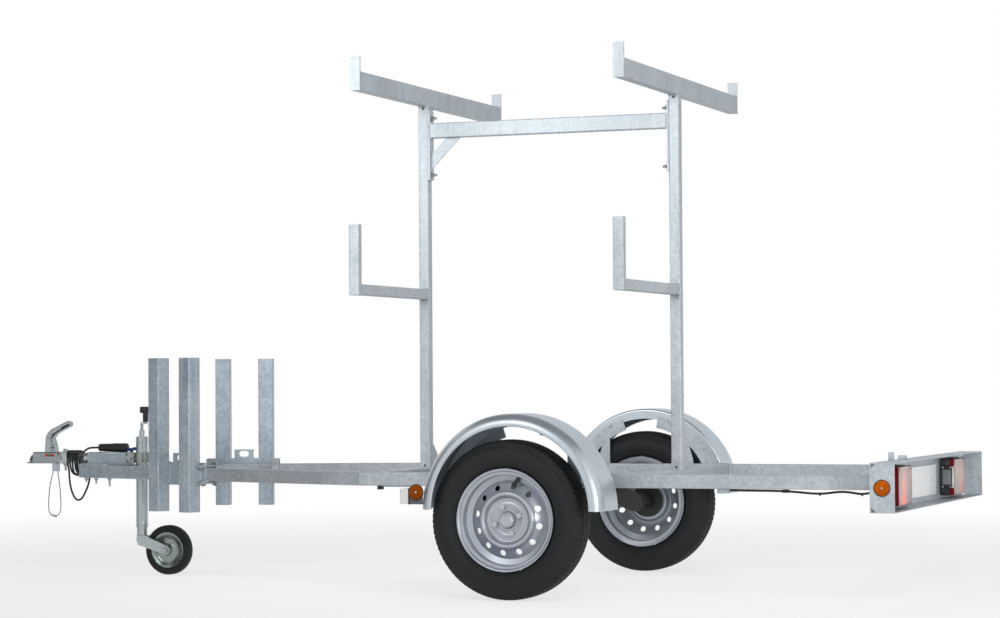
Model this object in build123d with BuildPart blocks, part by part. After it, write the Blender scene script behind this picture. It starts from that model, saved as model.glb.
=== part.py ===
"""Scaffold trailer: galvanised V-drawbar chassis with load arms, on two road wheels and a jockey wheel.

Millimetres. +X points forward, +Y to the trailer's left, +Z up, and the ground is Z = 0.
"""
import os
from math import atan2, cos, degrees, hypot, radians, sin, tan

from build123d import *

os.makedirs("parts", exist_ok=True)

# Distances along X, ahead of the axle or behind it
AXLE_X = -533.0
APEX_AHEAD = 2163.0
KNEE_AHEAD = 663.0
POST_AHEAD = 623.0
POST_BEHIND = 397.0
BAR_BEHIND = 1379.0
HOLDER_AHEAD = 1582.0
MARKER_AHEAD = 358.0

# Chassis tubes
FRAME_TOP = 442.0
BEAM_H = 50.0
BEAM_W = 50.0
FRAME_HALF = 600.0
APEX_HALF = 66.0
CROSS_W = 50.0
CORNER_R = 4.0
WALL = 3.0

# Road wheels
WHEEL_OUT = 162.0
TYRE_R = 284.0
TYRE_HALF = 78.0
TREAD_HALF = 57.0
BEAD_R = 165.0
RIM_R = 182.5
RIM_HALF = 66.0
RIM_T = 4.0
PRESS_R = 3.0
DISC_Y = 28.0
VENT_COUNT = 12
VENT_R = 119.0
BOLT_COUNT = 4
BOLT_CIRCLE = 49.0
SPINDLE_R = 15.0
RUN_CLEAR = 0.05
HUB_R = 32.0

# Torsion axle
AXLE_TUBE = 70.0
AXLE_AHEAD = 130.0
AXLE_PAD_T = 8.0
ARM_T = 30.0
ARM_GAP = 8.0
ARM_R = 36.0

# Mudguards
GUARD_CLEAR = 56.0
GUARD_BACK = 30.0
GUARD_RISE = 36.0
GUARD_T = 2.5
GUARD_INSET = 90.0
GUARD_W = 192.0
GUARD_SHOULDER = 40.0
GUARD_BEND = 7.0
GUARD_BEAD_R = 5.0
FLANGE_H = 40.0
DOUBLER_T = 2.0
DOUBLER_ARC = 20.0
STRAP_T = 4.0
STRAP_INSET = 26.0
STRAP_W = 48.0
FOOT_W = 34.0

# Load frame
POST = 40.0
POST_Y = 55.0
T_TOP = 1914.0
T_H = 70.0
T_W = 40.0
T_HALF = 712.0
STOP_H = 55.0
STOP_T = 8.0
GUSSET_T = 6.0
POST_GUSSET = 130.0
T_GUSSET = 60.0
ARM_TOP = 1133.0
ARM_TUBE = 40.0
UPRIGHT_TOP = 1351.0
UPRIGHT_W = 30.0
UPRIGHT_OUT = 729.0
RAIL_DROP = 66.0
RAIL_H = 58.0
RAIL_W = 40.0
FLANGE_T = 8.0
FLANGE_OVER = 48.0
FLANGE_UNDER = 162.0
BRACE_LEG = 121.0
BRACE_W = 58.0
VENT_HOLE_R = 4.5
VENT_EDGE = 8.0

# Stanchion holders on the drawbar
HOLDER_L = 296.0
HOLDER_T = 6.0
HOLDER_BOTTOM = 375.0
HOLDER_TOP = 464.0
EAR_W = 79.0
EAR_H = 36.0
SLOT_L = 39.0
SLOT_H = 24.0
STANCHION = 60.0
STANCHION_GAP = 178.0
STANCHION_BOTTOM = 271.0
STANCHION_TOP = 874.0
CLAMP_W = 26.0
CLAMP_T = 8.0
CLAMP_BOLT_R = 5.0

# Rear light bar
BAR_TOP = 491.0
BAR_H = 170.0
BAR_D = 86.0
BAR_T = 3.0
BAR_OUT = 149.0
BAR_CHAMFER = 17.0
BAR_HOLE_R = 5.0
BAR_HOLE_IN = 44.0
LAMP_IN = 287.0
LAMP_W = 208.0
LAMP_H = 138.0
LAMP_D = 56.0
LAMP_Z = 404.0
PLATE_W = 520.0
PLATE_H = 110.0
PLATE_T = 2.0
PLATE_GAP = 6.0
PLATE_Z = 401.0
REFLECTOR_R = 29.0
REFLECTOR_T = 7.0

# Front marker lamps
MARKER_L = 54.4
MARKER_Z = 366.0
MARKER_H = 56.0
MARKER_D = 36.0
MARKER_W = 64.0
MARKER_T = 3.0

# Coupling
JOINT_OVER = 5.0
JOINT_L = 163.0
JOINT_T = 5.0
BOX_BACK = 18.0
BOX_L = 177.0
BOX = 48.0
SHANK_R = 22.0
SHANK_L = 147.0
HEAD_L = 153.0
HEAD_H = 47.0
HEAD_WALL = 5.0
HEAD_BEND = 9.0
HEAD_FLANGE = 4.0
FLANGE_W = 60.0
BALL_R = 25.15
BALL_BACK = 42.0
BALL_RISE = 12.0
NECK_L = 24.0
LEVER_W = 28.0
LEVER_T = 3.0
LEVER_BASE = 56.0
LOOP_R = 7.0

# Jockey wheel
JOCKEY_BACK = 60.0
TUBE_R = 24.0
TUBE_T = 2.5
TUBE_BOTTOM = 190.0
TUBE_TOP = 551.0
STEM_TOP = 505.0
CROWN_TOP = 157.0
CROWN_H = 26.0
CHEEK_L = 34.0
CHEEK_H = 37.0
BOSS_R = 18.0
CROWN_R = 23.0
KING_R = 12.0
FACE_GAP = 0.3
TRAIL = 125.0
JOCKEY_R = 100.0
JOCKEY_HALF = 22.0
JOCKEY_PIN_R = 8.0
FORK_T = 5.0
FORK_GAP = 6.0
CLAMP_BOTTOM = 452.0
CLAMP_TOP = 494.0
CRANK_TURN = 129.0
CRANK_L = 85.0
KNOB_R = 23.0
KNOB_H = 26.0
GRIP_R = 11.0
GRIP_H = 36.0

# Cords
CABLE_D = 8.0
WIRE_D = 4.0
LIGHT_CABLE_D = 8.0
LIGHT_BEHIND = 730.0
LIGHT_Y = 25.0

# Worked-out places
APEX_X = AXLE_X + APEX_AHEAD
KNEE_X = AXLE_X + KNEE_AHEAD
POST_FRONT_X = AXLE_X + POST_AHEAD
POST_REAR_X = AXLE_X - POST_BEHIND
BAR_REAR_X = AXLE_X - BAR_BEHIND
HOLDER_X = AXLE_X + HOLDER_AHEAD
MARKER_X = AXLE_X + MARKER_AHEAD
HALF_TRACK = FRAME_HALF + WHEEL_OUT
GUARD_IN = HALF_TRACK - GUARD_INSET
GUARD_OUT = GUARD_IN + GUARD_W
BAR_HALF = FRAME_HALF + BAR_OUT
LAMP_Y = BAR_HALF - LAMP_IN
FRAME_BOTTOM = FRAME_TOP - BEAM_H
FRAME_MID = FRAME_TOP - BEAM_H / 2
FRAME_IN = FRAME_HALF - BEAM_W
BAR_FRONT_X = BAR_REAR_X + BAR_D
LIGHT_X = AXLE_X - LIGHT_BEHIND
LIGHT_RUN = LIGHT_X - BAR_FRONT_X
LIGHT_LINE = FRAME_HALF - LIGHT_Y
WEB_X = BAR_FRONT_X - BAR_T
V_ANGLE = atan2(FRAME_HALF - APEX_HALF, APEX_X - KNEE_X)
MITRE = BEAM_W * tan(V_ANGLE / 2)
WHEEL_Z = TYRE_R
GUARD_X = AXLE_X - GUARD_BACK
GUARD_Z = WHEEL_Z + GUARD_RISE
GUARD_R = TYRE_R + GUARD_CLEAR
STRAP_OUT = GUARD_R - STRAP_INSET
STRAP_IN = STRAP_OUT - STRAP_W
T_BOTTOM = T_TOP - T_H
ARM_BOTTOM = ARM_TOP - ARM_TUBE
RAIL_TOP = T_BOTTOM - RAIL_DROP
RAIL_BOTTOM = RAIL_TOP - RAIL_H
HOLDER_Y = FRAME_HALF - (HOLDER_X - KNEE_X) * tan(V_ANGLE)
PLATE_FRONT = APEX_X + JOINT_OVER
PLATE_REAR = PLATE_FRONT - JOINT_L
BOX_FRONT = APEX_X - BOX_BACK
BOX_REAR = BOX_FRONT - BOX_L
JOCKEY_X = BOX_REAR - JOCKEY_BACK
BOX_BOTTOM = FRAME_TOP + JOINT_T
BOX_Z = BOX_BOTTOM + BOX / 2
HEAD_REAR = BOX_FRONT + SHANK_L
HEAD_FRONT = HEAD_REAR + HEAD_L
BALL_X = HEAD_FRONT - BALL_BACK
WHEEL_AXIS = Axis((AXLE_X, 0, WHEEL_Z), (0, 1, 0))
GUARD_AXIS = Axis((GUARD_X, 0, GUARD_Z), (0, 1, 0))

parts = {}


def tube_profile(width, height):
    """Rounded hollow rectangle in the sketch that is open."""
    RectangleRounded(width, height, CORNER_R)
    RectangleRounded(width - 2 * WALL, height - 2 * WALL, CORNER_R - WALL / 2, mode=Mode.SUBTRACT)


# Drawbar: two tubes that meet in a V at the coupling and are mitred to the side beams
with BuildPart() as drawbar_left:
    with BuildSketch(Plane.XY.offset(FRAME_BOTTOM)):
        with BuildLine():
            Polyline(
                (APEX_X, APEX_HALF),
                (KNEE_X, FRAME_HALF),
                (KNEE_X - MITRE, FRAME_IN),
                (APEX_X, APEX_HALF - BEAM_W / cos(V_ANGLE)),
                close=True,
            )
        make_face()
    extrude(amount=BEAM_H)
    fillet(drawbar_left.edges().sort_by(SortBy.LENGTH)[-4:], CORNER_R)
parts["drawbar_left"] = drawbar_left.part

with BuildPart() as drawbar_right:
    mirror(drawbar_left.part, about=Plane.XZ)
parts["drawbar_right"] = drawbar_right.part

with BuildPart() as side_beam_left:
    with BuildSketch(Plane.XY.offset(FRAME_BOTTOM)):
        with BuildLine():
            Polyline(
                (KNEE_X, FRAME_HALF),
                (BAR_FRONT_X, FRAME_HALF),
                (BAR_FRONT_X, FRAME_IN),
                (KNEE_X - MITRE, FRAME_IN),
                close=True,
            )
        make_face()
    extrude(amount=BEAM_H)
    fillet(side_beam_left.edges().sort_by(SortBy.LENGTH)[-4:], CORNER_R)
parts["side_beam_left"] = side_beam_left.part

with BuildPart() as side_beam_right:
    mirror(side_beam_left.part, about=Plane.XZ)
parts["side_beam_right"] = side_beam_right.part

# Cross-members under the posts: (name, station)
for name, x in (("cross_member_front", POST_FRONT_X), ("cross_member_rear", POST_REAR_X)):
    with BuildPart() as cross_member:
        with Locations((x, 0, FRAME_MID)):
            Box(CROSS_W, 2 * FRAME_IN, BEAM_H)
        fillet(cross_member.edges().filter_by(Axis.Y), CORNER_R)
    parts[name] = cross_member.part

# Torsion axle: square tube on two pads under the side beams, with a trailing arm and spindle at each end
AXLE_TUBE_X = AXLE_X + AXLE_AHEAD
AXLE_TUBE_Z = FRAME_BOTTOM - AXLE_PAD_T - AXLE_TUBE / 2
ARM_IN = FRAME_HALF + ARM_GAP
with BuildPart() as axle_beam:
    with Locations((AXLE_TUBE_X, 0, AXLE_TUBE_Z)):
        Box(AXLE_TUBE, 2 * ARM_IN, AXLE_TUBE)
    fillet(axle_beam.edges().filter_by(Axis.Y), CORNER_R)
    with Locations(
        (AXLE_TUBE_X, FRAME_HALF - BEAM_W / 2, FRAME_BOTTOM - AXLE_PAD_T / 2),
        (AXLE_TUBE_X, BEAM_W / 2 - FRAME_HALF, FRAME_BOTTOM - AXLE_PAD_T / 2),
    ):
        Box(2 * AXLE_TUBE, BEAM_W + 10, AXLE_PAD_T)
parts["axle_beam"] = axle_beam.part

ARM_RUN = hypot(AXLE_AHEAD, AXLE_TUBE_Z - WHEEL_Z)
ARM_SLOPE = degrees(atan2(AXLE_TUBE_Z - WHEEL_Z, AXLE_AHEAD))
HUB_IN = ARM_IN + ARM_T + 10.0
HUB_FACE = HALF_TRACK + DISC_Y - RIM_T
with BuildPart() as swing_arm_left:
    with BuildSketch(Plane((AXLE_X, ARM_IN, WHEEL_Z), x_dir=(1, 0, 0), z_dir=(0, -1, 0))):
        with Locations(Location((AXLE_AHEAD / 2, (AXLE_TUBE_Z - WHEEL_Z) / 2), ARM_SLOPE)):
            SlotCenterToCenter(ARM_RUN, 2 * ARM_R)
    extrude(amount=-ARM_T)
    fillet(swing_arm_left.faces().sort_by(Axis.Y)[-1].edges(), CORNER_R)
    with BuildSketch(Plane((AXLE_X, ARM_IN + ARM_T, WHEEL_Z), x_dir=(1, 0, 0), z_dir=(0, 1, 0))):
        Circle(SPINDLE_R)
    extrude(amount=HUB_FACE - ARM_IN - ARM_T - 12)
parts["swing_arm_left"] = swing_arm_left.part

with BuildPart() as swing_arm_right:
    mirror(swing_arm_left.part, about=Plane.XZ)
parts["swing_arm_right"] = swing_arm_right.part

# Road wheels, each turned about its axle: profiles are (distance outboard of the wheel's centre, radius)
WHEEL_PLANE = Plane((AXLE_X, HALF_TRACK, WHEEL_Z), x_dir=(0, 1, 0), z_dir=(1, 0, 0))
WELL_R = BEAD_R - 22.0
with BuildPart() as tyre_left:
    with BuildSketch(WHEEL_PLANE):
        with BuildLine():
            l1 = Line((-RIM_HALF + 10, BEAD_R + 0.3), (-RIM_HALF + 24, BEAD_R + 0.3))
            l2 = Line(l1 @ 1, (-TREAD_HALF + 4, TYRE_R - 40))
            l3 = Line(l2 @ 1, (-TREAD_HALF + 16, TYRE_R - 14))
            l4 = Line(l3 @ 1, (TREAD_HALF - 16, TYRE_R - 14))
            l5 = Line(l4 @ 1, (TREAD_HALF - 4, TYRE_R - 40))
            l6 = Line(l5 @ 1, (RIM_HALF - 24, BEAD_R + 0.3))
            l7 = Line(l6 @ 1, (RIM_HALF - 10, BEAD_R + 0.3))
            l7b = Line(l7 @ 1, (RIM_HALF - 9.5, RIM_R + 2))
            l8 = ThreePointArc(l7b @ 1, (TYRE_HALF, TYRE_R - 52), (TREAD_HALF, TYRE_R - 8))
            l9 = ThreePointArc(l8 @ 1, (TREAD_HALF - 4, TYRE_R - 3), (TREAD_HALF - 12, TYRE_R))
            l10 = Line(l9 @ 1, (12 - TREAD_HALF, TYRE_R))
            l11 = ThreePointArc(l10 @ 1, (4 - TREAD_HALF, TYRE_R - 3), (-TREAD_HALF, TYRE_R - 8))
            l12 = ThreePointArc(l11 @ 1, (-TYRE_HALF, TYRE_R - 52), (9.5 - RIM_HALF, RIM_R + 2))
            Line(l12 @ 1, l1 @ 0)
        make_face()
    revolve(axis=WHEEL_AXIS)
parts["tyre_left"] = tyre_left.part

with BuildPart() as rim_left:
    with BuildSketch(WHEEL_PLANE) as rim_section:
        with BuildLine():
            Polyline(
                (-RIM_HALF, RIM_R),
                (-RIM_HALF + 8, RIM_R - 5),
                (-RIM_HALF + 9, BEAD_R),
                (-26, BEAD_R - 1),
                (-16, WELL_R),
                (16, WELL_R),
                (26, BEAD_R - 1),
                (RIM_HALF - 9, BEAD_R),
                (RIM_HALF - 8, RIM_R - 5),
                (RIM_HALF, RIM_R),
                (RIM_HALF, RIM_R - RIM_T),
                (RIM_HALF - 4, RIM_R - 9),
                (RIM_HALF - 5, BEAD_R - RIM_T),
                (28, BEAD_R - RIM_T - 1),
                (18, WELL_R - RIM_T),
                (14, WELL_R - RIM_T),
                (DISC_Y + 6, 108),
                (DISC_Y + 20, 96),
                (DISC_Y + 20, 90),
                (DISC_Y, 78),
                (DISC_Y, 30),
                (DISC_Y - RIM_T, 30),
                (DISC_Y - RIM_T, 80),
                (DISC_Y + 14, 92),
                (DISC_Y + 2, 105),
                (8, WELL_R - RIM_T),
                (-18, WELL_R - RIM_T),
                (-28, BEAD_R - RIM_T - 1),
                (-RIM_HALF + 5, BEAD_R - RIM_T),
                (-RIM_HALF + 4, RIM_R - 9),
                (-RIM_HALF, RIM_R - RIM_T),
                close=True,
            )
        make_face()
        fillet([v for v in rim_section.vertices() if 79 < v.Z - WHEEL_Z < 109], PRESS_R)
    revolve(axis=WHEEL_AXIS)
    with BuildSketch(Plane((AXLE_X, HALF_TRACK + DISC_Y + 30, WHEEL_Z), x_dir=(1, 0, 0), z_dir=(0, 1, 0))):
        with PolarLocations(VENT_R, VENT_COUNT):
            Ellipse(7, 10)
    extrude(amount=-60, mode=Mode.SUBTRACT)
parts["rim_left"] = rim_left.part

with BuildPart() as hub_left:
    with BuildSketch(WHEEL_PLANE):
        with BuildLine():
            Polyline(
                (HUB_IN - HALF_TRACK, SPINDLE_R + RUN_CLEAR),
                (HUB_IN - HALF_TRACK, HUB_R),
                (DISC_Y - RIM_T - 16, HUB_R),
                (DISC_Y - RIM_T - 16, 66),
                (DISC_Y - RIM_T, 66),
                (DISC_Y - RIM_T, 29.6),
                (DISC_Y + 22, 26),
                (DISC_Y + 26, 20),
                (DISC_Y + 26, 0),
                (DISC_Y - RIM_T - 7, 0),
                (DISC_Y - RIM_T - 7, SPINDLE_R + RUN_CLEAR),
                close=True,
            )
        make_face()
    revolve(axis=WHEEL_AXIS)
    with BuildSketch(Plane((AXLE_X, HALF_TRACK + DISC_Y, WHEEL_Z), x_dir=(1, 0, 0), z_dir=(0, 1, 0))):
        with PolarLocations(BOLT_CIRCLE, BOLT_COUNT, start_angle=20):
            RegularPolygon(10, 6)
    extrude(amount=14)
parts["hub_left"] = hub_left.part

# The right-hand wheel is the left one mirrored: (name, left-hand part)
for name, left in (("tyre_right", tyre_left), ("rim_right", rim_left), ("hub_right", hub_left)):
    with BuildPart() as wheel_piece:
        mirror(left.part, about=Plane.XZ)
    parts[name] = wheel_piece.part

# Mudguards: pressed half-round sheet with a rolled outer shoulder, a beaded lip, a flat inner flange and
# a doubler on the rear tip
GUARD_PLANE = Plane((GUARD_X, 0, GUARD_Z), x_dir=(0, 1, 0), z_dir=(1, 0, 0))
SKIN_R = GUARD_R - GUARD_T / 2
SKIN_IN = GUARD_IN + GUARD_T / 2
SKIN_OUT = GUARD_OUT - GUARD_T / 2
SHOULDER_Y = GUARD_OUT - GUARD_SHOULDER
LIP_R = GUARD_R - GUARD_SHOULDER
with BuildPart() as mudguard_left:
    with BuildSketch(GUARD_PLANE) as guard_section:
        with BuildLine():
            g1 = Line((SKIN_IN, GUARD_R - FLANGE_H), (SKIN_IN, SKIN_R - GUARD_BEND))
            g2 = TangentArc(g1 @ 1, (SKIN_IN + GUARD_BEND, SKIN_R), tangent=g1 % 1)
            g3 = Line(g2 @ 1, (SKIN_OUT - SKIN_R + LIP_R, SKIN_R))
            TangentArc(g3 @ 1, (SKIN_OUT, LIP_R), tangent=g3 % 1)
        trace(line_width=GUARD_T)
        with Locations((GUARD_OUT - GUARD_BEAD_R, LIP_R)):
            Circle(GUARD_BEAD_R)
    revolve(axis=GUARD_AXIS, revolution_arc=90)
    revolve(guard_section.sketch, axis=GUARD_AXIS, revolution_arc=-90)
    with BuildSketch(Plane.XY.offset(GUARD_Z)):
        with Locations((GUARD_X - GUARD_R, (GUARD_IN + SHOULDER_Y) / 2)):
            Rectangle(2 * DOUBLER_T, SHOULDER_Y - GUARD_IN - 2 * GUARD_BEND)
    revolve(axis=GUARD_AXIS, revolution_arc=DOUBLER_ARC)
parts["mudguard_left"] = mudguard_left.part

with BuildPart() as mudguard_right:
    mirror(mudguard_left.part, about=Plane.XZ)
parts["mudguard_right"] = mudguard_right.part

# Mudguard brackets: a plate strap riveted along the inner flange, a leg that leaves a triangle open beside
# the strap, and a foot on the side beam. Columns: angle of the strap's upper end from the top, side
STRAPS = ((18.0, 1), (-10.0, -1))
STRAP_PLANE = Plane((GUARD_X, GUARD_IN, GUARD_Z), x_dir=(1, 0, 0), z_dir=(0, -1, 0))
STRAP_FOOT = FRAME_BOTTOM - GUARD_Z
LEG_IN = STRAP_IN * 0.57
LEG_OUT = STRAP_IN * 0.76
with BuildPart() as guard_brackets:
    for upper, side in STRAPS:
        with BuildSketch(STRAP_PLANE):
            Circle(STRAP_OUT)
            Circle(STRAP_IN, mode=Mode.SUBTRACT)
            with BuildLine():
                Polyline(
                    (STRAP_FOOT * tan(radians(upper)), STRAP_FOOT),
                    (2 * STRAP_OUT * sin(radians(upper)), 2 * STRAP_OUT * cos(radians(upper))),
                    (2 * side * STRAP_OUT, 2 * STRAP_OUT),
                    (2 * side * STRAP_OUT, STRAP_FOOT),
                    close=True,
                )
            make_face(mode=Mode.INTERSECT)
            with BuildLine():
                Polyline(
                    (side * LEG_IN, STRAP_FOOT),
                    (side * LEG_OUT, STRAP_FOOT),
                    (side * LEG_OUT, STRAP_IN / 2),
                    (side * STRAP_IN * 0.69, STRAP_IN * 0.725),
                    (side * STRAP_IN * 0.75, STRAP_IN * 0.78),
                    (side * STRAP_IN * 0.62, STRAP_IN * 0.88),
                    (side * LEG_IN, STRAP_IN * 0.88),
                    close=True,
                )
            make_face()
        extrude(amount=STRAP_T)
        with Locations((GUARD_X + side * (LEG_IN + LEG_OUT) / 2, (FRAME_HALF + GUARD_IN) / 2, FRAME_MID)):
            Box(FOOT_W, GUARD_IN - FRAME_HALF, BEAM_H / 2)
    mirror(about=Plane.XZ)
parts["guard_brackets"] = guard_brackets.part

# Load frame: a post with its gussets, a T-bar and an arm with its upright: (end, station)
POST_FAR = POST_Y - POST / 2
for end, x in (("front", POST_FRONT_X), ("rear", POST_REAR_X)):
    with BuildPart() as post:
        with Locations((x, POST_Y, FRAME_TOP)):
            Box(POST, POST, T_BOTTOM - FRAME_TOP, align=(Align.CENTER, Align.CENTER, Align.MIN))
        fillet(post.edges().filter_by(Axis.Z), CORNER_R)
        with BuildSketch(Plane((x, POST_FAR, FRAME_TOP), x_dir=(0, -1, 0), z_dir=(-1, 0, 0))):
            with BuildLine():
                Polyline(
                    (-CORNER_R, 0),
                    (POST_GUSSET, 0),
                    (0, POST_GUSSET),
                    (-CORNER_R, POST_GUSSET),
                    close=True,
                )
            make_face()
        extrude(amount=GUSSET_T / 2, both=True)
        with BuildSketch(Plane((x, POST_FAR, T_BOTTOM), x_dir=(0, -1, 0), z_dir=(-1, 0, 0))):
            with BuildLine():
                Polyline((-CORNER_R, 0), (T_GUSSET, 0), (0, -T_GUSSET), (-CORNER_R, -T_GUSSET), close=True)
            make_face()
        extrude(amount=GUSSET_T / 2, both=True)
        with BuildSketch(Plane((x, POST_Y + POST / 2, 0), x_dir=(1, 0, 0), z_dir=(0, -1, 0))):
            with Locations((0, FRAME_TOP + VENT_EDGE), (0, T_BOTTOM - VENT_EDGE)):
                Circle(VENT_HOLE_R)
        extrude(amount=POST / 2, mode=Mode.SUBTRACT)
    parts[f"post_{end}"] = post.part

    with BuildPart() as t_bar:
        with Locations((x, 0, T_TOP - T_H / 2)):
            Box(T_W, 2 * T_HALF - 2 * STOP_T, T_H)
        fillet(t_bar.edges().filter_by(Axis.Y), CORNER_R)
        for side in (1, -1):
            with Locations((x, side * (T_HALF - STOP_T / 2), T_BOTTOM)):
                Box(T_W, STOP_T, T_H + STOP_H, align=(Align.CENTER, Align.CENTER, Align.MIN))
    parts[f"t_bar_{end}"] = t_bar.part

    with BuildPart() as load_arm:
        arm_end = UPRIGHT_OUT - UPRIGHT_W
        with Locations((x, POST_Y + POST / 2, ARM_BOTTOM)):
            Box(ARM_TUBE, arm_end - POST_Y - POST / 2, ARM_TUBE, align=(Align.CENTER, Align.MIN, Align.MIN))
        fillet(load_arm.edges().filter_by(Axis.Y), CORNER_R)
        with BuildSketch(Plane.XY.offset(ARM_BOTTOM)):
            with Locations((x, UPRIGHT_OUT - UPRIGHT_W / 2)):
                tube_profile(ARM_TUBE, UPRIGHT_W)
        extrude(amount=UPRIGHT_TOP - ARM_BOTTOM)
    parts[f"load_arm_{end}"] = load_arm.part

# Top rail: a tube with an upright flange plate bolted to each post and a brace at the front
RAIL_FRONT = POST_FRONT_X - POST / 2
RAIL_REAR = POST_REAR_X + POST / 2
FLANGE_TOP = RAIL_TOP + FLANGE_OVER
FLANGE_BOTTOM = RAIL_BOTTOM - FLANGE_UNDER
with BuildPart() as top_rail:
    with Locations(((RAIL_FRONT + RAIL_REAR) / 2, POST_Y, RAIL_TOP - RAIL_H / 2)):
        Box(RAIL_FRONT - RAIL_REAR - FLANGE_T, RAIL_W, RAIL_H)
    fillet(top_rail.edges().filter_by(Axis.X), CORNER_R)
    for x in (RAIL_FRONT - FLANGE_T / 2, RAIL_REAR + FLANGE_T / 2):
        with Locations((x, POST_Y, (FLANGE_TOP + FLANGE_BOTTOM) / 2)):
            Box(FLANGE_T, RAIL_W, FLANGE_TOP - FLANGE_BOTTOM)
    with BuildSketch(Plane((RAIL_FRONT - FLANGE_T, POST_Y, RAIL_BOTTOM), x_dir=(-1, 0, 0), z_dir=(0, 1, 0))):
        with BuildLine():
            Polyline(
                (-1, -BRACE_LEG),
                (BRACE_LEG + 1, 1),
                (BRACE_LEG - BRACE_W, 1),
                (-1, BRACE_W - BRACE_LEG),
                close=True,
            )
        make_face()
    extrude(amount=GUSSET_T / 2, both=True)
parts["top_rail"] = top_rail.part

# Stanchion holders, clamped to the drawbar: local x runs back along the tube, y points outward
ALONG = (-cos(V_ANGLE), sin(V_ANGLE), 0)
OUTWARD = (sin(V_ANGLE), cos(V_ANGLE), 0)
HOLDER_FACE = Plane((HOLDER_X, HOLDER_Y, 0), x_dir=ALONG, z_dir=OUTWARD)
HOLDER_BASE = Plane((HOLDER_X, HOLDER_Y, 0), x_dir=(cos(V_ANGLE), -sin(V_ANGLE), 0), z_dir=(0, 0, 1))
HOLDER_H = HOLDER_TOP - HOLDER_BOTTOM
with BuildPart() as holder_left:
    with BuildSketch(HOLDER_FACE):
        with Locations((0, HOLDER_BOTTOM + HOLDER_H / 2)):
            Rectangle(HOLDER_L, HOLDER_H)
        with Locations((0, HOLDER_TOP + EAR_H / 2)):
            Rectangle(EAR_W, EAR_H)
            SlotOverall(SLOT_L, SLOT_H, mode=Mode.SUBTRACT)
    extrude(amount=HOLDER_T)
parts["holder_left"] = holder_left.part

with BuildPart() as stanchions_left:
    with BuildSketch(HOLDER_BASE.offset(STANCHION_BOTTOM)):
        with Locations(
            (STANCHION_GAP / 2, HOLDER_T + STANCHION / 2),
            (-STANCHION_GAP / 2, HOLDER_T + STANCHION / 2),
        ):
            tube_profile(STANCHION, STANCHION)
    extrude(amount=STANCHION_TOP - STANCHION_BOTTOM)
parts["stanchions_left"] = stanchions_left.part

CLAMP_BOLT_Z = (FRAME_BOTTOM - CLAMP_BOLT_R - 2, FRAME_TOP + CLAMP_BOLT_R + 2)
with BuildPart() as holder_clamps:
    for side in (1, -1):
        clamp_x = side * (HOLDER_L - CLAMP_W) / 2
        with BuildSketch(HOLDER_FACE.offset(-BEAM_W)):
            with Locations((clamp_x, HOLDER_BOTTOM + HOLDER_H / 2)):
                Rectangle(CLAMP_W, HOLDER_H)
        extrude(amount=-CLAMP_T)
        with BuildSketch(HOLDER_FACE):
            with Locations((clamp_x, CLAMP_BOLT_Z[0]), (clamp_x, CLAMP_BOLT_Z[1])):
                Circle(CLAMP_BOLT_R)
        extrude(amount=-BEAM_W - CLAMP_T / 2)
    mirror(about=Plane.XZ)
parts["holder_clamps"] = holder_clamps.part

for name, left in (("holder_right", holder_left), ("stanchions_right", stanchions_left)):
    with BuildPart() as holder_piece:
        mirror(left.part, about=Plane.XZ)
    parts[name] = holder_piece.part

# Light bar: a channel open to the rear, with end plates, and two short lugs on top: (y, width, height)
LUGS = ((463.0, 14.0, 29.0), (309.0, 24.0, 13.0))
BAR_BOTTOM = BAR_TOP - BAR_H
BAR_Z = BAR_TOP - BAR_H / 2
with BuildPart() as light_bar:
    with Locations(((BAR_FRONT_X + BAR_REAR_X) / 2, 0, BAR_Z)):
        Box(BAR_D, 2 * BAR_HALF, BAR_H)
    with Locations((BAR_REAR_X, 0, BAR_Z)):
        Box(
            BAR_D - BAR_T,
            2 * BAR_HALF - 2 * BAR_T,
            BAR_H - 2 * BAR_T,
            align=(Align.MIN, Align.CENTER, Align.CENTER),
            mode=Mode.SUBTRACT,
        )
    for side in (1, -1):
        end_plane = Plane((BAR_FRONT_X, side * BAR_HALF, BAR_Z), x_dir=(-1, 0, 0), z_dir=(0, -side, 0))
        with BuildSketch(end_plane):
            for corner in (1, -1):
                with BuildLine():
                    Polyline(
                        (BAR_T, corner * (BAR_H / 2 - BAR_T)),
                        (BAR_T + BAR_CHAMFER, corner * (BAR_H / 2 - BAR_T)),
                        (BAR_T, corner * (BAR_H / 2 - BAR_T - BAR_CHAMFER)),
                        close=True,
                    )
                make_face()
            if side < 0:
                with Locations((BAR_HOLE_IN, 0)):
                    Circle(BAR_HOLE_R)
        extrude(amount=BAR_T, mode=Mode.SUBTRACT)
    for y, width, height in LUGS:
        with Locations((WEB_X, y, BAR_TOP)):
            Box(BAR_T, width, height, align=(Align.MIN, Align.CENTER, Align.MIN))
parts["light_bar"] = light_bar.part

for name, y in (("lamp_left", LAMP_Y), ("lamp_right", -LAMP_Y)):
    with BuildPart() as lamp:
        with Locations((WEB_X, y, LAMP_Z)):
            Box(LAMP_D, LAMP_W, LAMP_H, align=(Align.MAX, Align.CENTER, Align.CENTER))
        fillet(lamp.faces().sort_by(Axis.X)[0].edges(), 6)
    parts[name] = lamp.part

with BuildPart() as number_plate:
    with Locations((WEB_X - PLATE_GAP, 0, PLATE_Z)):
        Box(PLATE_T, PLATE_W, PLATE_H, align=(Align.MAX, Align.CENTER, Align.CENTER))
    with Locations((WEB_X, PLATE_W / 3, PLATE_Z), (WEB_X, -PLATE_W / 3, PLATE_Z)):
        Box(PLATE_GAP, 20, 60, align=(Align.MAX, Align.CENTER, Align.CENTER))
parts["number_plate"] = number_plate.part

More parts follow.
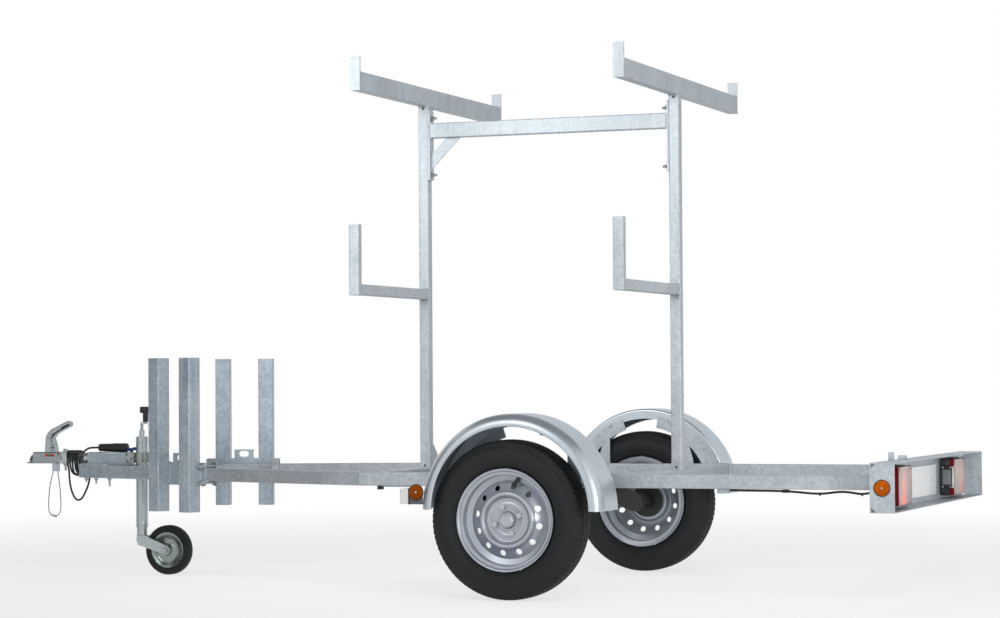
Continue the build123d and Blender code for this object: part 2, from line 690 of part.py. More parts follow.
# Front marker lamps: an angle bracket on the mudguard's front end and a lens that faces forward
MARKER_OUT = GUARD_OUT - 16.0
with BuildPart() as marker_brackets:
    for side in (1, -1):
        with Locations((MARKER_X, side * (MARKER_OUT - MARKER_T / 2), MARKER_Z)):
            Box(MARKER_L, MARKER_T, MARKER_H, align=(Align.MAX, Align.CENTER, Align.CENTER))
        with Locations((MARKER_X - MARKER_T / 2, side * (MARKER_OUT - MARKER_W / 2), MARKER_Z)):
            Box(MARKER_T, MARKER_W, MARKER_H)
parts["marker_brackets"] = marker_brackets.part

with BuildPart() as marker_lenses:
    for side in (1, -1):
        with Locations((MARKER_X, side * (MARKER_OUT - MARKER_W / 2), MARKER_Z)):
            Box(MARKER_D, MARKER_W, MARKER_H, align=(Align.MIN, Align.CENTER, Align.CENTER))
    fillet(marker_lenses.edges().group_by(Axis.X)[-1], 8)
parts["marker_lenses"] = marker_lenses.part

# Round side reflectors: (name, x, outer face they sit on, z)
for name, x, y, z in (
    ("reflectors_front", MARKER_X - MARKER_L * 0.55, MARKER_OUT, MARKER_Z + 15),
    ("reflectors_rear", BAR_FRONT_X - BAR_D / 2, BAR_HALF, BAR_Z),
):
    with BuildPart() as reflectors:
        for side in (1, -1):
            with BuildSketch(Plane((x, side * y, z), x_dir=(side, 0, 0), z_dir=(0, side, 0))):
                Circle(REFLECTOR_R)
            extrude(amount=REFLECTOR_T)
    parts[name] = reflectors.part

# Coupling: joint plate on the drawbar's apex, box tube, shank and ball head with a raised lever
with BuildPart() as joint_plate:
    front_half = APEX_HALF - 6
    rear_half = front_half + (PLATE_FRONT - PLATE_REAR) * tan(V_ANGLE)
    with BuildSketch(Plane.XY.offset(FRAME_TOP)):
        with BuildLine():
            Polyline(
                (PLATE_FRONT, front_half),
                (PLATE_REAR, rear_half),
                (PLATE_REAR, -rear_half),
                (PLATE_FRONT, -front_half),
                close=True,
            )
        make_face()
    extrude(amount=JOINT_T)
parts["joint_plate"] = joint_plate.part

with BuildPart() as coupling_box:
    with Locations(((BOX_FRONT + BOX_REAR) / 2, 0, BOX_Z)):
        Box(BOX_FRONT - BOX_REAR, BOX, BOX)
    fillet(coupling_box.edges().filter_by(Axis.X), CORNER_R)
parts["coupling_box"] = coupling_box.part

HEAD_BOTTOM = BOX_Z - HEAD_H / 2
HEAD_TOP = HEAD_BOTTOM + HEAD_H
BALL_Z = HEAD_BOTTOM + BALL_RISE
DOME_R = BALL_R + HEAD_WALL
BALL_PLANE = Plane((BALL_X, 0, 0), z_dir=(1, 0, 0))


def head_plan(neck_half, ball_half, neck_x, neck_l):
    """Plan of the head in the sketch that is open: a straight neck that widens to the ball."""
    with Locations((BALL_X, 0)):
        Circle(ball_half)
    with Locations((neck_x + neck_l / 2, 0)):
        Rectangle(neck_l, 2 * neck_half)
    make_hull()


with BuildPart() as coupling_shank:
    with BuildSketch(Plane((BOX_FRONT, 0, BOX_Z), x_dir=(0, 1, 0), z_dir=(1, 0, 0))):
        Circle(SHANK_R)
    extrude(amount=SHANK_L)
parts["coupling_shank"] = coupling_shank.part

with BuildPart() as coupling_head:
    with BuildSketch(Plane.XY.offset(HEAD_BOTTOM)):
        head_plan(SHANK_R, DOME_R, HEAD_REAR, NECK_L)
    extrude(amount=HEAD_H)
    fillet(coupling_head.faces().sort_by(Axis.Z)[-1].edges(), HEAD_BEND)
    with BuildSketch(Plane.XY.offset(HEAD_BOTTOM)):
        head_plan(FLANGE_W / 2, BALL_BACK, HEAD_REAR, NECK_L)
    extrude(amount=HEAD_FLANGE)
    with BuildSketch(Plane.XY.offset(HEAD_BOTTOM)):
        head_plan(SHANK_R - HEAD_WALL, BALL_R, HEAD_REAR + NECK_L, 1)
    extrude(amount=HEAD_H - HEAD_WALL, mode=Mode.SUBTRACT)
    split(bisect_by=BALL_PLANE, keep=Keep.BOTTOM)
parts["coupling_head"] = coupling_head.part

with BuildPart() as coupling_cup:
    with Locations((BALL_X, 0, BALL_Z)):
        Sphere(DOME_R)
        Cylinder(DOME_R, BALL_RISE, align=(Align.CENTER, Align.CENTER, Align.MAX))
    with BuildSketch(Plane.XY.offset(HEAD_BOTTOM)):
        with Locations((BALL_X, 0)):
            Circle(BALL_BACK)
    extrude(amount=HEAD_FLANGE)
    with Locations((BALL_X, 0, BALL_Z)):
        Sphere(BALL_R, mode=Mode.SUBTRACT)
        Cylinder(BALL_R, 2 * BALL_RISE, align=(Align.CENTER, Align.CENTER, Align.MAX), mode=Mode.SUBTRACT)
    split(bisect_by=Plane.XY.offset(HEAD_BOTTOM), keep=Keep.TOP)
    split(bisect_by=BALL_PLANE, keep=Keep.TOP)
parts["coupling_cup"] = coupling_cup.part

# Lever: a pressed channel, open behind, that stands on the head and ends in a loop
# Columns: x from the head's rear and z above its top, for the base, elbow, arm and loop
LEVER_PLANE = Plane((HEAD_REAR, 0, HEAD_TOP), x_dir=(1, 0, 0), z_dir=(0, -1, 0))
BASE_X = LEVER_BASE / 2 + 2
ELBOW = (32.0, 60.0, 19.0)
ARM_ROOT = (33.0, 69.0, 12.5)
LOOP = (-49.0, 117.0, 13.5)
ARM_LEN = hypot(ARM_ROOT[0] - LOOP[0], LOOP[1] - ARM_ROOT[1])
ARM_DIR = ((ARM_ROOT[0] - LOOP[0]) / ARM_LEN, (ARM_ROOT[1] - LOOP[1]) / ARM_LEN)
OPEN_BY = 6.0
with BuildPart() as coupling_lever:
    with BuildSketch(LEVER_PLANE):
        with Locations((BASE_X, 1)):
            Rectangle(LEVER_BASE, 2)
        with Locations(ELBOW[:2]):
            Circle(ELBOW[2])
        make_hull()
    extrude(amount=LEVER_W / 2, both=True)
    with BuildSketch(LEVER_PLANE):
        with Locations(ARM_ROOT[:2]):
            Circle(ARM_ROOT[2])
        with Locations(LOOP[:2]):
            Circle(LOOP[2])
        make_hull()
    extrude(amount=LEVER_W / 2, both=True)
    with BuildSketch(LEVER_PLANE):
        with Locations((BASE_X - LEVER_T - OPEN_BY, 0)):
            Rectangle(LEVER_BASE + 2 * OPEN_BY, 2)
        with Locations((ELBOW[0] - OPEN_BY, ELBOW[1])):
            Circle(ELBOW[2] + OPEN_BY - LEVER_T)
        make_hull()
    extrude(amount=LEVER_W / 2 - LEVER_T, both=True, mode=Mode.SUBTRACT)
    with BuildSketch(LEVER_PLANE):
        with Locations((ARM_ROOT[0] + OPEN_BY * ARM_DIR[1], ARM_ROOT[1] - OPEN_BY * ARM_DIR[0])):
            Circle(ARM_ROOT[2] + OPEN_BY - LEVER_T)
        with Locations(
            (
                LOOP[0] + OPEN_BY * ARM_DIR[1] + 2 * LOOP[2] * ARM_DIR[0],
                LOOP[1] - OPEN_BY * ARM_DIR[0] + 2 * LOOP[2] * ARM_DIR[1],
            )
        ):
            Circle(LOOP[2] + OPEN_BY - LEVER_T)
        make_hull()
    extrude(amount=LEVER_W / 2 - LEVER_T, both=True, mode=Mode.SUBTRACT)
    with BuildSketch(LEVER_PLANE):
        with Locations(LOOP[:2]):
            Circle(LOOP_R)
    extrude(amount=LEVER_W / 2, both=True, mode=Mode.SUBTRACT)
parts["coupling_lever"] = coupling_lever.part

# Jockey wheel: clamp and outer tube on the chassis, sliding stem, swivelling fork and wheel
with BuildPart() as jockey_clamp:
    clamp_h = CLAMP_TOP - CLAMP_BOTTOM
    with Locations((JOCKEY_X, 0, CLAMP_BOTTOM)):
        Cylinder(TUBE_R + 9, clamp_h, align=(Align.CENTER, Align.CENTER, Align.MIN))
    with Locations((BOX_REAR, 0, CLAMP_BOTTOM)):
        Box(BOX_REAR - JOCKEY_X, 36, clamp_h, align=(Align.MAX, Align.CENTER, Align.MIN))
    with Locations((JOCKEY_X, 0, CLAMP_BOTTOM)):
        Cylinder(
            TUBE_R + FACE_GAP,
            clamp_h,
            align=(Align.CENTER, Align.CENTER, Align.MIN),
            mode=Mode.SUBTRACT,
        )
parts["jockey_clamp"] = jockey_clamp.part

with BuildPart() as clamp_lever:
    with Locations((JOCKEY_X + 47, 0, CLAMP_TOP)):
        Cylinder(6, 8, align=(Align.CENTER, Align.CENTER, Align.MIN))
    with Locations((JOCKEY_X + 47, 0, CLAMP_TOP + 8)):
        Box(38, 14, 10, align=(Align.CENTER, Align.CENTER, Align.MIN))
parts["clamp_lever"] = clamp_lever.part

TUBE_IN = TUBE_R - TUBE_T
with BuildPart() as jockey_tube:
    with BuildSketch(Plane.XY.offset(TUBE_BOTTOM)):
        with Locations((JOCKEY_X, 0)):
            Circle(TUBE_R)
            Circle(TUBE_IN, mode=Mode.SUBTRACT)
    extrude(amount=TUBE_TOP - TUBE_BOTTOM)
parts["jockey_tube"] = jockey_tube.part

CRANK_DX = CRANK_L * cos(radians(CRANK_TURN))
CRANK_DY = CRANK_L * sin(radians(CRANK_TURN))
with BuildPart() as jockey_crank:
    for radius, base, height in ((TUBE_R, TUBE_TOP, 8), (11, TUBE_TOP + 8, 26), (6, TUBE_TOP + 34, 34)):
        with Locations((JOCKEY_X, 0, base)):
            Cylinder(radius, height, align=(Align.CENTER, Align.CENTER, Align.MIN))
    with Locations(Location((JOCKEY_X, 0, TUBE_TOP + 60), (0, 0, CRANK_TURN))):
        Box(CRANK_L, 14, 8, align=(Align.MIN, Align.CENTER, Align.MIN))
parts["jockey_crank"] = jockey_crank.part

GRIP_FOOT = (JOCKEY_X + CRANK_DX, CRANK_DY, TUBE_TOP + 68)
with BuildPart() as crank_grip:
    with BuildSketch(Plane(GRIP_FOOT, x_dir=(1, 0, 0), z_dir=(0, -1, 0))):
        Rectangle(GRIP_R, GRIP_H + KNOB_H / 2, align=(Align.MIN, Align.MIN))
        with Locations((0, GRIP_H)):
            Rectangle(KNOB_R, KNOB_H, align=(Align.MIN, Align.MIN))
    revolve(axis=Axis(GRIP_FOOT, (0, 0, 1)))
    fillet(crank_grip.edges().filter_by(GeomType.CIRCLE).sort_by(Axis.Z)[-2:], 5)
parts["crank_grip"] = crank_grip.part

STEM_R = TUBE_IN - RUN_CLEAR
CROWN_BOTTOM = CROWN_TOP - CROWN_H
with BuildPart() as jockey_stem:
    with Locations((JOCKEY_X, 0, CROWN_TOP + FACE_GAP)):
        Cylinder(STEM_R, STEM_TOP - CROWN_TOP - FACE_GAP, align=(Align.CENTER, Align.CENTER, Align.MIN))
    with Locations((JOCKEY_X, 0, CROWN_BOTTOM - FACE_GAP)):
        Cylinder(KING_R, CROWN_H + 2 * FACE_GAP, align=(Align.CENTER, Align.CENTER, Align.MIN))
        Cylinder(KING_R + 4, 4, align=(Align.CENTER, Align.CENTER, Align.MAX))
parts["jockey_stem"] = jockey_stem.part

FORK_IN = JOCKEY_HALF + FORK_GAP
WHEEL_X = JOCKEY_X - TRAIL
CHEEK_X = JOCKEY_X + 3 - CHEEK_L / 2
with BuildPart() as jockey_fork:
    with Locations((JOCKEY_X, 0, CROWN_BOTTOM)):
        Cylinder(CROWN_R, CROWN_H, align=(Align.CENTER, Align.CENTER, Align.MIN))
    with Locations((CHEEK_X, 0, CROWN_TOP)):
        Box(CHEEK_L, 2 * (FORK_IN + FORK_T), 8, align=(Align.CENTER, Align.CENTER, Align.MAX))
    for side in (1, -1):
        with BuildSketch(Plane.XZ.offset(-side * FORK_IN)):
            with Locations((CHEEK_X, CROWN_TOP - CHEEK_H / 2)):
                Rectangle(CHEEK_L, CHEEK_H)
            with Locations((WHEEL_X, JOCKEY_R)):
                Circle(BOSS_R)
            make_hull()
        extrude(amount=-side * FORK_T)
    with Locations((JOCKEY_X, 0, CROWN_BOTTOM)):
        Cylinder(
            KING_R + RUN_CLEAR,
            CROWN_H,
            align=(Align.CENTER, Align.CENTER, Align.MIN),
            mode=Mode.SUBTRACT,
        )
    with Locations((WHEEL_X, 0, JOCKEY_R)):
        Cylinder(JOCKEY_PIN_R, 2 * (FORK_IN + FORK_T) + 12, rotation=(90, 0, 0))
parts["jockey_fork"] = jockey_fork.part

JOCKEY_AXIS = Axis((WHEEL_X, 0, JOCKEY_R), (0, 1, 0))
JOCKEY_PLANE = Plane((WHEEL_X, 0, JOCKEY_R), x_dir=(0, 1, 0), z_dir=(1, 0, 0))
JOCKEY_RIM_R = JOCKEY_R - 30.0
with BuildPart() as jockey_tyre:
    with BuildSketch(JOCKEY_PLANE):
        with Locations((0, (JOCKEY_R + JOCKEY_RIM_R) / 2)):
            RectangleRounded(2 * JOCKEY_HALF, JOCKEY_R - JOCKEY_RIM_R, 12)
    revolve(axis=JOCKEY_AXIS)
parts["jockey_tyre"] = jockey_tyre.part

with BuildPart() as jockey_rim:
    with BuildSketch(JOCKEY_PLANE):
        with BuildLine():
            Polyline(
                (-JOCKEY_HALF - 2, JOCKEY_PIN_R + RUN_CLEAR),
                (-JOCKEY_HALF - 2, 20),
                (-6, 24),
                (-6, JOCKEY_RIM_R - 12),
                (-14, JOCKEY_RIM_R),
                (14, JOCKEY_RIM_R),
                (6, JOCKEY_RIM_R - 12),
                (6, 24),
                (JOCKEY_HALF + 2, 20),
                (JOCKEY_HALF + 2, JOCKEY_PIN_R + RUN_CLEAR),
                close=True,
            )
        make_face()
    revolve(axis=JOCKEY_AXIS)
parts["jockey_rim"] = jockey_rim.part

# Wiring: plug parked on the box tube, a cable wound on the shank that hangs down to a gland on the drawbar
PLUG_R = 18.0
PLUG_FRONT = BOX_FRONT - 39.0
PLUG_L = 131.0
PLUG_Z = BOX_Z + BOX / 2 + PLUG_R
with BuildPart() as trailer_plug:
    with BuildSketch(Plane((PLUG_FRONT, 0, PLUG_Z), x_dir=(-1, 0, 0), z_dir=(0, -1, 0))):
        with BuildLine():
            Polyline(
                (0, 0),
                (0, 0.72 * PLUG_R),
                (4, 0.86 * PLUG_R),
                (PLUG_L * 0.45, 0.93 * PLUG_R),
                (PLUG_L * 0.53, PLUG_R),
                (PLUG_L - 3, PLUG_R),
                (PLUG_L, PLUG_R - 3),
                (PLUG_L, 0),
                close=True,
            )
        make_face()
    revolve(axis=Axis((PLUG_FRONT, 0, PLUG_Z), (1, 0, 0)))
parts["trailer_plug"] = trailer_plug.part

COIL_FRONT = HEAD_REAR - 38.0
COIL_L = 72.0
COIL_WALL = 13.0
COIL_IN_R = SHANK_R + 2.0
COIL_TOP = BOX_Z + SHANK_R + FACE_GAP + COIL_WALL
COIL_BOTTOM = COIL_TOP - 116.0
with BuildPart() as cable_coil:
    with BuildSketch(Plane((COIL_FRONT, 0, (COIL_TOP + COIL_BOTTOM) / 2), x_dir=(0, 0, 1), z_dir=(-1, 0, 0))):
        SlotOverall(COIL_TOP - COIL_BOTTOM, 2 * (COIL_IN_R + COIL_WALL))
        SlotOverall(COIL_TOP - COIL_BOTTOM - 2 * COIL_WALL, 2 * COIL_IN_R, mode=Mode.SUBTRACT)
    extrude(amount=COIL_L)
parts["cable_coil"] = cable_coil.part

GLAND_X = APEX_X - 13.0
GLAND_BOTTOM = FRAME_TOP - 14.0
with BuildPart() as cable_gland:
    with Locations((GLAND_X, 0, GLAND_BOTTOM)):
        Cylinder(9, FRAME_TOP - GLAND_BOTTOM, align=(Align.CENTER, Align.CENTER, Align.MIN))
parts["cable_gland"] = cable_gland.part

with BuildPart() as safety_tab:
    with BuildSketch(Plane.XZ.offset(-20)):
        with Locations((HEAD_REAR + 8, HEAD_BOTTOM - 16)):
            Rectangle(34, 32)
    extrude(amount=5)
parts["safety_tab"] = safety_tab.part


def bend_radii(points):
    """Largest even bends that fit a route's runs."""
    radii = []
    for before, here, after in zip(points, points[1:], points[2:]):
        run_in = Vector(*here) - Vector(*before)
        run_out = Vector(*after) - Vector(*here)
        turn = radians(run_in.get_angle(run_out))
        radii.append(0.45 * min(run_in.length, run_out.length) / tan(turn / 2))
    return radii


# Routes: (node, diameter, points)
ROUTES = (
    (
        "trailer_cable",
        CABLE_D,
        (
            (PLUG_FRONT, 0, PLUG_Z),
            (PLUG_FRONT + 24, 0, PLUG_Z),
            (PLUG_FRONT + 50, 5, COIL_TOP - COIL_WALL / 2),
            (COIL_FRONT - COIL_L, 5, COIL_TOP - COIL_WALL / 2),
        ),
    ),
    (
        "trailer_cable",
        CABLE_D,
        (
            (COIL_FRONT - 12, 0, COIL_BOTTOM - FACE_GAP),
            (COIL_FRONT - 11, 2, COIL_BOTTOM - 45),
            (COIL_FRONT - 16, 4, COIL_BOTTOM - 72),
            (COIL_FRONT - 36, 5, COIL_BOTTOM - 92),
            (COIL_FRONT - 64, 5, COIL_BOTTOM - 90),
            (COIL_FRONT - 82, 4, COIL_BOTTOM - 65),
            (COIL_FRONT - 98, 2, COIL_BOTTOM - 28),
            (GLAND_X, 0, COIL_BOTTOM + 6),
            (GLAND_X, 0, GLAND_BOTTOM),
        ),
    ),
    (
        "safety_cable",
        WIRE_D,
        (
            (HEAD_REAR + 18, 22.5, HEAD_BOTTOM - 32),
            (HEAD_REAR + 31, 24, HEAD_BOTTOM - 75),
            (HEAD_REAR + 38, 25, HEAD_BOTTOM - 130),
            (HEAD_REAR + 40, 26, HEAD_BOTTOM - 188),
            (HEAD_REAR + 31, 26, HEAD_BOTTOM - 210),
            (HEAD_REAR + 10, 27, HEAD_BOTTOM - 219),
            (HEAD_REAR - 11, 26, HEAD_BOTTOM - 210),
            (HEAD_REAR - 20, 26, HEAD_BOTTOM - 188),
            (HEAD_REAR - 18, 25, HEAD_BOTTOM - 130),
            (HEAD_REAR - 11, 24, HEAD_BOTTOM - 75),
            (HEAD_REAR - 2, 22.5, HEAD_BOTTOM - 32),
        ),
    ),
    (
        "light_cable",
        LIGHT_CABLE_D,
        (
            (LIGHT_X, LIGHT_LINE, FRAME_BOTTOM - 5),
            (LIGHT_X - 0.400 * LIGHT_RUN, LIGHT_LINE, FRAME_BOTTOM - 6),
            (LIGHT_X - 0.615 * LIGHT_RUN, LIGHT_LINE, FRAME_BOTTOM - 16),
            (LIGHT_X - 0.760 * LIGHT_RUN, LIGHT_LINE, FRAME_BOTTOM - 5),
            (LIGHT_X - 0.880 * LIGHT_RUN, LIGHT_LINE, FRAME_BOTTOM - 15),
            (LIGHT_X - 0.947 * LIGHT_RUN, LIGHT_LINE, FRAME_BOTTOM - 8),
            (BAR_FRONT_X, LIGHT_LINE, FRAME_BOTTOM - 8),
        ),
    ),
)
CLIP_STATIONS = (LIGHT_X, LIGHT_X - 0.400 * LIGHT_RUN)
for node in dict.fromkeys(row[0] for row in ROUTES):
    with BuildPart() as cord:
        for name, diameter, points in ROUTES:
            if name != node:
                continue
            radii = bend_radii(points)
            print(name, "bend radii", [round(r, 1) for r in radii])
            with BuildLine() as route:
                FilletPolyline(*points, radius=radii)
            with BuildSketch(Plane(route.line @ 0, z_dir=route.line % 0)):
                Circle(diameter / 2)
            sweep()
        if node == "light_cable":
            with Locations(*((x, LIGHT_LINE, FRAME_BOTTOM) for x in CLIP_STATIONS)):
                Box(24, 14, 12, align=(Align.CENTER, Align.CENTER, Align.MAX))
    parts[node] = cord.part

for name, part in parts.items():
    part.label = name
    export_step(part, f"parts/{name}.step")
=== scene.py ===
"""Scaffold trailer: finishes, tyres, lamps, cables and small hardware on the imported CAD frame."""

from math import atan2, cos, pi, radians, sin, sqrt

import bmesh
import bpy
from mathutils import Matrix, Vector
from mathutils.geometry import interpolate_bezier


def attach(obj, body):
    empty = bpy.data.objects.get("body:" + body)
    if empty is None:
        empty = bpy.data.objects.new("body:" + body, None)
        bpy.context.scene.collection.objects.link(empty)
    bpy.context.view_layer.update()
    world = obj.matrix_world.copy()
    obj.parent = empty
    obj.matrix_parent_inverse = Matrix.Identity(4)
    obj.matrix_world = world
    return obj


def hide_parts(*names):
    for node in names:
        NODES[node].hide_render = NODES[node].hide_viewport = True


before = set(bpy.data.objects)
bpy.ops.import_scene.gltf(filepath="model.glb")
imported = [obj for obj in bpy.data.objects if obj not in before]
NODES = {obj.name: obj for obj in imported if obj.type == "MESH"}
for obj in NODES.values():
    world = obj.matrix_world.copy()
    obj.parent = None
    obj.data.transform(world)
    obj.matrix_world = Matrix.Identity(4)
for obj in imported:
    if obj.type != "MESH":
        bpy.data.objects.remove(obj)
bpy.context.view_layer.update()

bl_info = {
    "name": "Scaffold trailer",
    "version": (1, 0, 0),
    "blender": (4, 5, 0),
    "location": "View3D > Sidebar > Trailer",
    "description": "Dresses the CAD frame of a galvanised scaffold trailer",
    "category": "Object",
}

SIDES = (("left", 1), ("right", -1))
# Places on the frame, in metres: +X forward, +Y left, +Z up
AXLE_X = -0.533
WHEEL_Z = 0.284
HALF_TRACK = 0.762
DISC_Y = 0.028
FRAME_TOP = 0.442
FRAME_BOTTOM = 0.392
FRAME_HALF = 0.600
FRAME_IN = 0.550
APEX = Vector((AXLE_X + 2.163, 0.066, 0))
KNEE = Vector((AXLE_X + 0.663, FRAME_HALF, 0))
V_ANGLE = atan2(KNEE.y - APEX.y, APEX.x - KNEE.x)
ALONG = Vector((-cos(V_ANGLE), sin(V_ANGLE), 0))
OUTWARD = Vector((sin(V_ANGLE), cos(V_ANGLE), 0))
HOLDER_X = AXLE_X + 1.582
HOLDER = KNEE.lerp(APEX, (HOLDER_X - KNEE.x) / (APEX.x - KNEE.x))
HOLDER_FACE = 0.006
POSTS = (AXLE_X + 0.623, AXLE_X - 0.397)
POST_Y = 0.055
POST_HALF = 0.020
T_BOTTOM = 1.844
T_TOP = 1.914
ARM_TOP = 1.133
ARM_BOTTOM = 1.093
GUARD = Vector((AXLE_X - 0.030, 0.672, 0.320))
WEB_X = -1.829
BAR_HALF = 0.749
LAMP_Y = 0.462
LAMP_Z = 0.404
PLUG_FRONT = AXLE_X + 2.106
PLUG_Z = 0.513
COIL_FRONT = AXLE_X + 2.254
COIL_TOP = 0.5063
COIL_BOTTOM = 0.3903
GLAND_X = AXLE_X + 2.150
GLAND_BOTTOM = 0.428
HEAD_REAR = AXLE_X + 2.292
HEAD_BOTTOM = 0.4475
HEAD_TOP = 0.4945
JOCKEY_X = AXLE_X + 1.908
JOCKEY_AXLE = Vector((JOCKEY_X - 0.125, 0, 0.100))
BOX_Z = 0.471
NECK_HALF = 0.022
HEAD_FLARE = radians(4.24)
MARKER_X = AXLE_X + 0.358
REFLECTORS = {"front": Vector((AXLE_X + 0.328, 0.848, 0.381)), "rear": Vector((-1.869, BAR_HALF, 0.406))}


def length(name, description, value):
    """A length property, in metres."""
    return bpy.props.FloatProperty(name=name, description=description, default=value, unit="LENGTH")


def count(name, description, value, least):
    """A property that counts pieces."""
    return bpy.props.IntProperty(name=name, description=description, default=value, min=least)


def colour(name, description, value):
    """A colour property."""
    return bpy.props.FloatVectorProperty(
        name=name, description=description, default=value, size=3, min=0, max=1, subtype="COLOR"
    )


class TrailerSizes(bpy.types.PropertyGroup):
    """Sizes of the dressed pieces."""

    cable_diameter: length("Cable diameter", "Thickness of the trailer cable", 0.008)
    wire_diameter: length("Wire diameter", "Thickness of the breakaway wire", 0.004)
    coil_turns: count("Coil turns", "Turns of cable hung on the coupling shank", 5, 1)
    tread_pitches: count("Tread pitches", "Tread blocks round a tyre", 88, 12)
    groove_depth: length("Groove depth", "Depth of the tread grooves", 0.007)
    weld_radius: length("Weld size", "Radius of a weld bead", 0.0032)
    bolt_flats: length("Bolt size", "Width across the flats of the common bolts", 0.017)


class TrailerColours(bpy.types.PropertyGroup):
    """Colours of the finishes."""

    zinc_light: colour("Zinc, light", "Brightest spangle of the galvanising", (0.53, 0.575, 0.605))
    zinc_dark: colour("Zinc, dark", "Darkest spangle of the galvanising", (0.31, 0.355, 0.39))
    sheet: colour("Mudguard sheet", "Pressed galvanised sheet", (0.55, 0.605, 0.65))
    plating: colour("Plating", "Bright zinc plating", (0.47, 0.515, 0.535))
    rim: colour("Rim paint", "Silver paint of the road wheels", (0.41, 0.44, 0.49))
    rubber: colour("Rubber", "Tyre rubber", (0.0085, 0.009, 0.0105))
    amber: colour("Amber", "Side reflectors", (0.46, 0.088, 0.001))
    red: colour("Red lens", "Rear lamp lens", (0.16, 0.006, 0.009))
    blue: colour("Blue", "Clamp lever", (0.012, 0.035, 0.20))


class Sock:
    """A node socket that takes part in Python sums: each sum adds its Math node."""

    def __init__(self, tree, socket):
        self.tree = tree
        self.socket = socket

    def _sum(self, operation, first, second):
        node = self.tree.nodes.new("ShaderNodeMath")
        node.operation = operation
        join(self.tree, node.inputs[0], first)
        join(self.tree, node.inputs[1], second)
        return Sock(self.tree, node.outputs[0])

    def __add__(self, other):
        return self._sum("ADD", self, other)

    __radd__ = __add__

    def __sub__(self, other):
        return self._sum("SUBTRACT", self, other)

    def __rsub__(self, other):
        return self._sum("SUBTRACT", other, self)

    def __mul__(self, other):
        return self._sum("MULTIPLY", self, other)

    __rmul__ = __mul__

    def __gt__(self, other):
        return self._sum("GREATER_THAN", self, other)

    def __lt__(self, other):
        return self._sum("LESS_THAN", self, other)


def join(tree, socket, value):
    """Links a Sock to a socket, or sets the socket's own value."""
    if isinstance(value, Sock):
        tree.links.new(value.socket, socket)
    elif socket.type == "RGBA" and len(value) == 3:
        socket.default_value = (*value, 1.0)
    else:
        socket.default_value = value


def pick(sockets, key):
    """A socket by its place, identifier or name."""
    if isinstance(key, int):
        return sockets[key]
    return next((s for s in sockets if s.identifier == key), None) or sockets[key]


class Graph:
    """A node tree that is being made."""

    def __init__(self, tree):
        self.tree = tree
        tree.nodes.clear()

    def node(self, kind, settings=None, sockets=None, out=0):
        made = self.tree.nodes.new(kind)
        for key, value in (settings or {}).items():
            setattr(made, key, value)
        for key, value in (sockets or {}).items():
            join(self.tree, pick(made.inputs, key), value)
        return Sock(self.tree, pick(made.outputs, out)) if len(made.outputs) else made

    def place(self):
        return self.node("ShaderNodeTexCoord", out="Object")

    def noise(self, where, scale, detail=3.0, roughness=0.55):
        return self.node(
            "ShaderNodeTexNoise",
            None,
            {"Vector": where, "Scale": scale, "Detail": detail, "Roughness": roughness},
        )

    def bands(self, where, direction, scale, distortion=0.0):
        settings = {"wave_type": "BANDS", "bands_direction": direction}
        sockets = {"Vector": where, "Scale": scale, "Distortion": distortion}
        return self.node("ShaderNodeTexWave", settings, sockets, "Fac")

    def facets(self, where, scale):
        sockets = {"Vector": where, "Scale": scale}
        cells = self.node("ShaderNodeTexVoronoi", {"feature": "F1"}, sockets, "Color")
        return self.node("ShaderNodeSeparateColor", None, {"Color": cells}, "Red")

    def rise(self, value, start, full):
        return self.node("ShaderNodeMapRange", None, {"Value": value, "From Min": start, "From Max": full})

    def along(self, where, axis):
        return self.node("ShaderNodeSeparateXYZ", None, {"Vector": where}, axis)

    def size(self, value):
        return self.node("ShaderNodeMath", {"operation": "ABSOLUTE"}, {0: value})

    def stretched(self, where, factors):
        return self.node("ShaderNodeVectorMath", {"operation": "MULTIPLY"}, {0: where, 1: factors})

    def mix(self, share, first, second):
        return self.node(
            "ShaderNodeMix",
            {"data_type": "RGBA", "clamp_factor": True},
            {"Factor_Float": share, "A_Color": first, "B_Color": second},
            "Result_Color",
        )

    def bump(self, height, strength, distance):
        return self.node(
            "ShaderNodeBump", None, {"Strength": strength, "Distance": distance, "Height": height}
        )

    def background_rays(self):
        """1 for the rays that see the background: the camera's, reflected and passed on."""
        names = ("Is Camera Ray", "Is Glossy Ray", "Is Transmission Ray")
        rays = [self.node("ShaderNodeLightPath", out=name) for name in names]
        return self.node("ShaderNodeMath", {"operation": "MINIMUM"}, {0: rays[0] + rays[1] + rays[2], 1: 1.0})


class Finish(Graph):
    """A material that is being made."""

    def __init__(self, name):
        self.material = bpy.data.materials.new(name)
        self.material.use_nodes = True
        super().__init__(self.material.node_tree)

    def close(self, **sockets):
        names = {key.replace("_", " "): value for key, value in sockets.items()}
        shader = self.node("ShaderNodeBsdfPrincipled", None, names)
        self.node("ShaderNodeOutputMaterial", None, {"Surface": shader})
        return self.material


def toned(base, factor, lift=0.0):
    """A colour made darker or lighter."""
    return [min(1.0, c * factor + lift) for c in base]


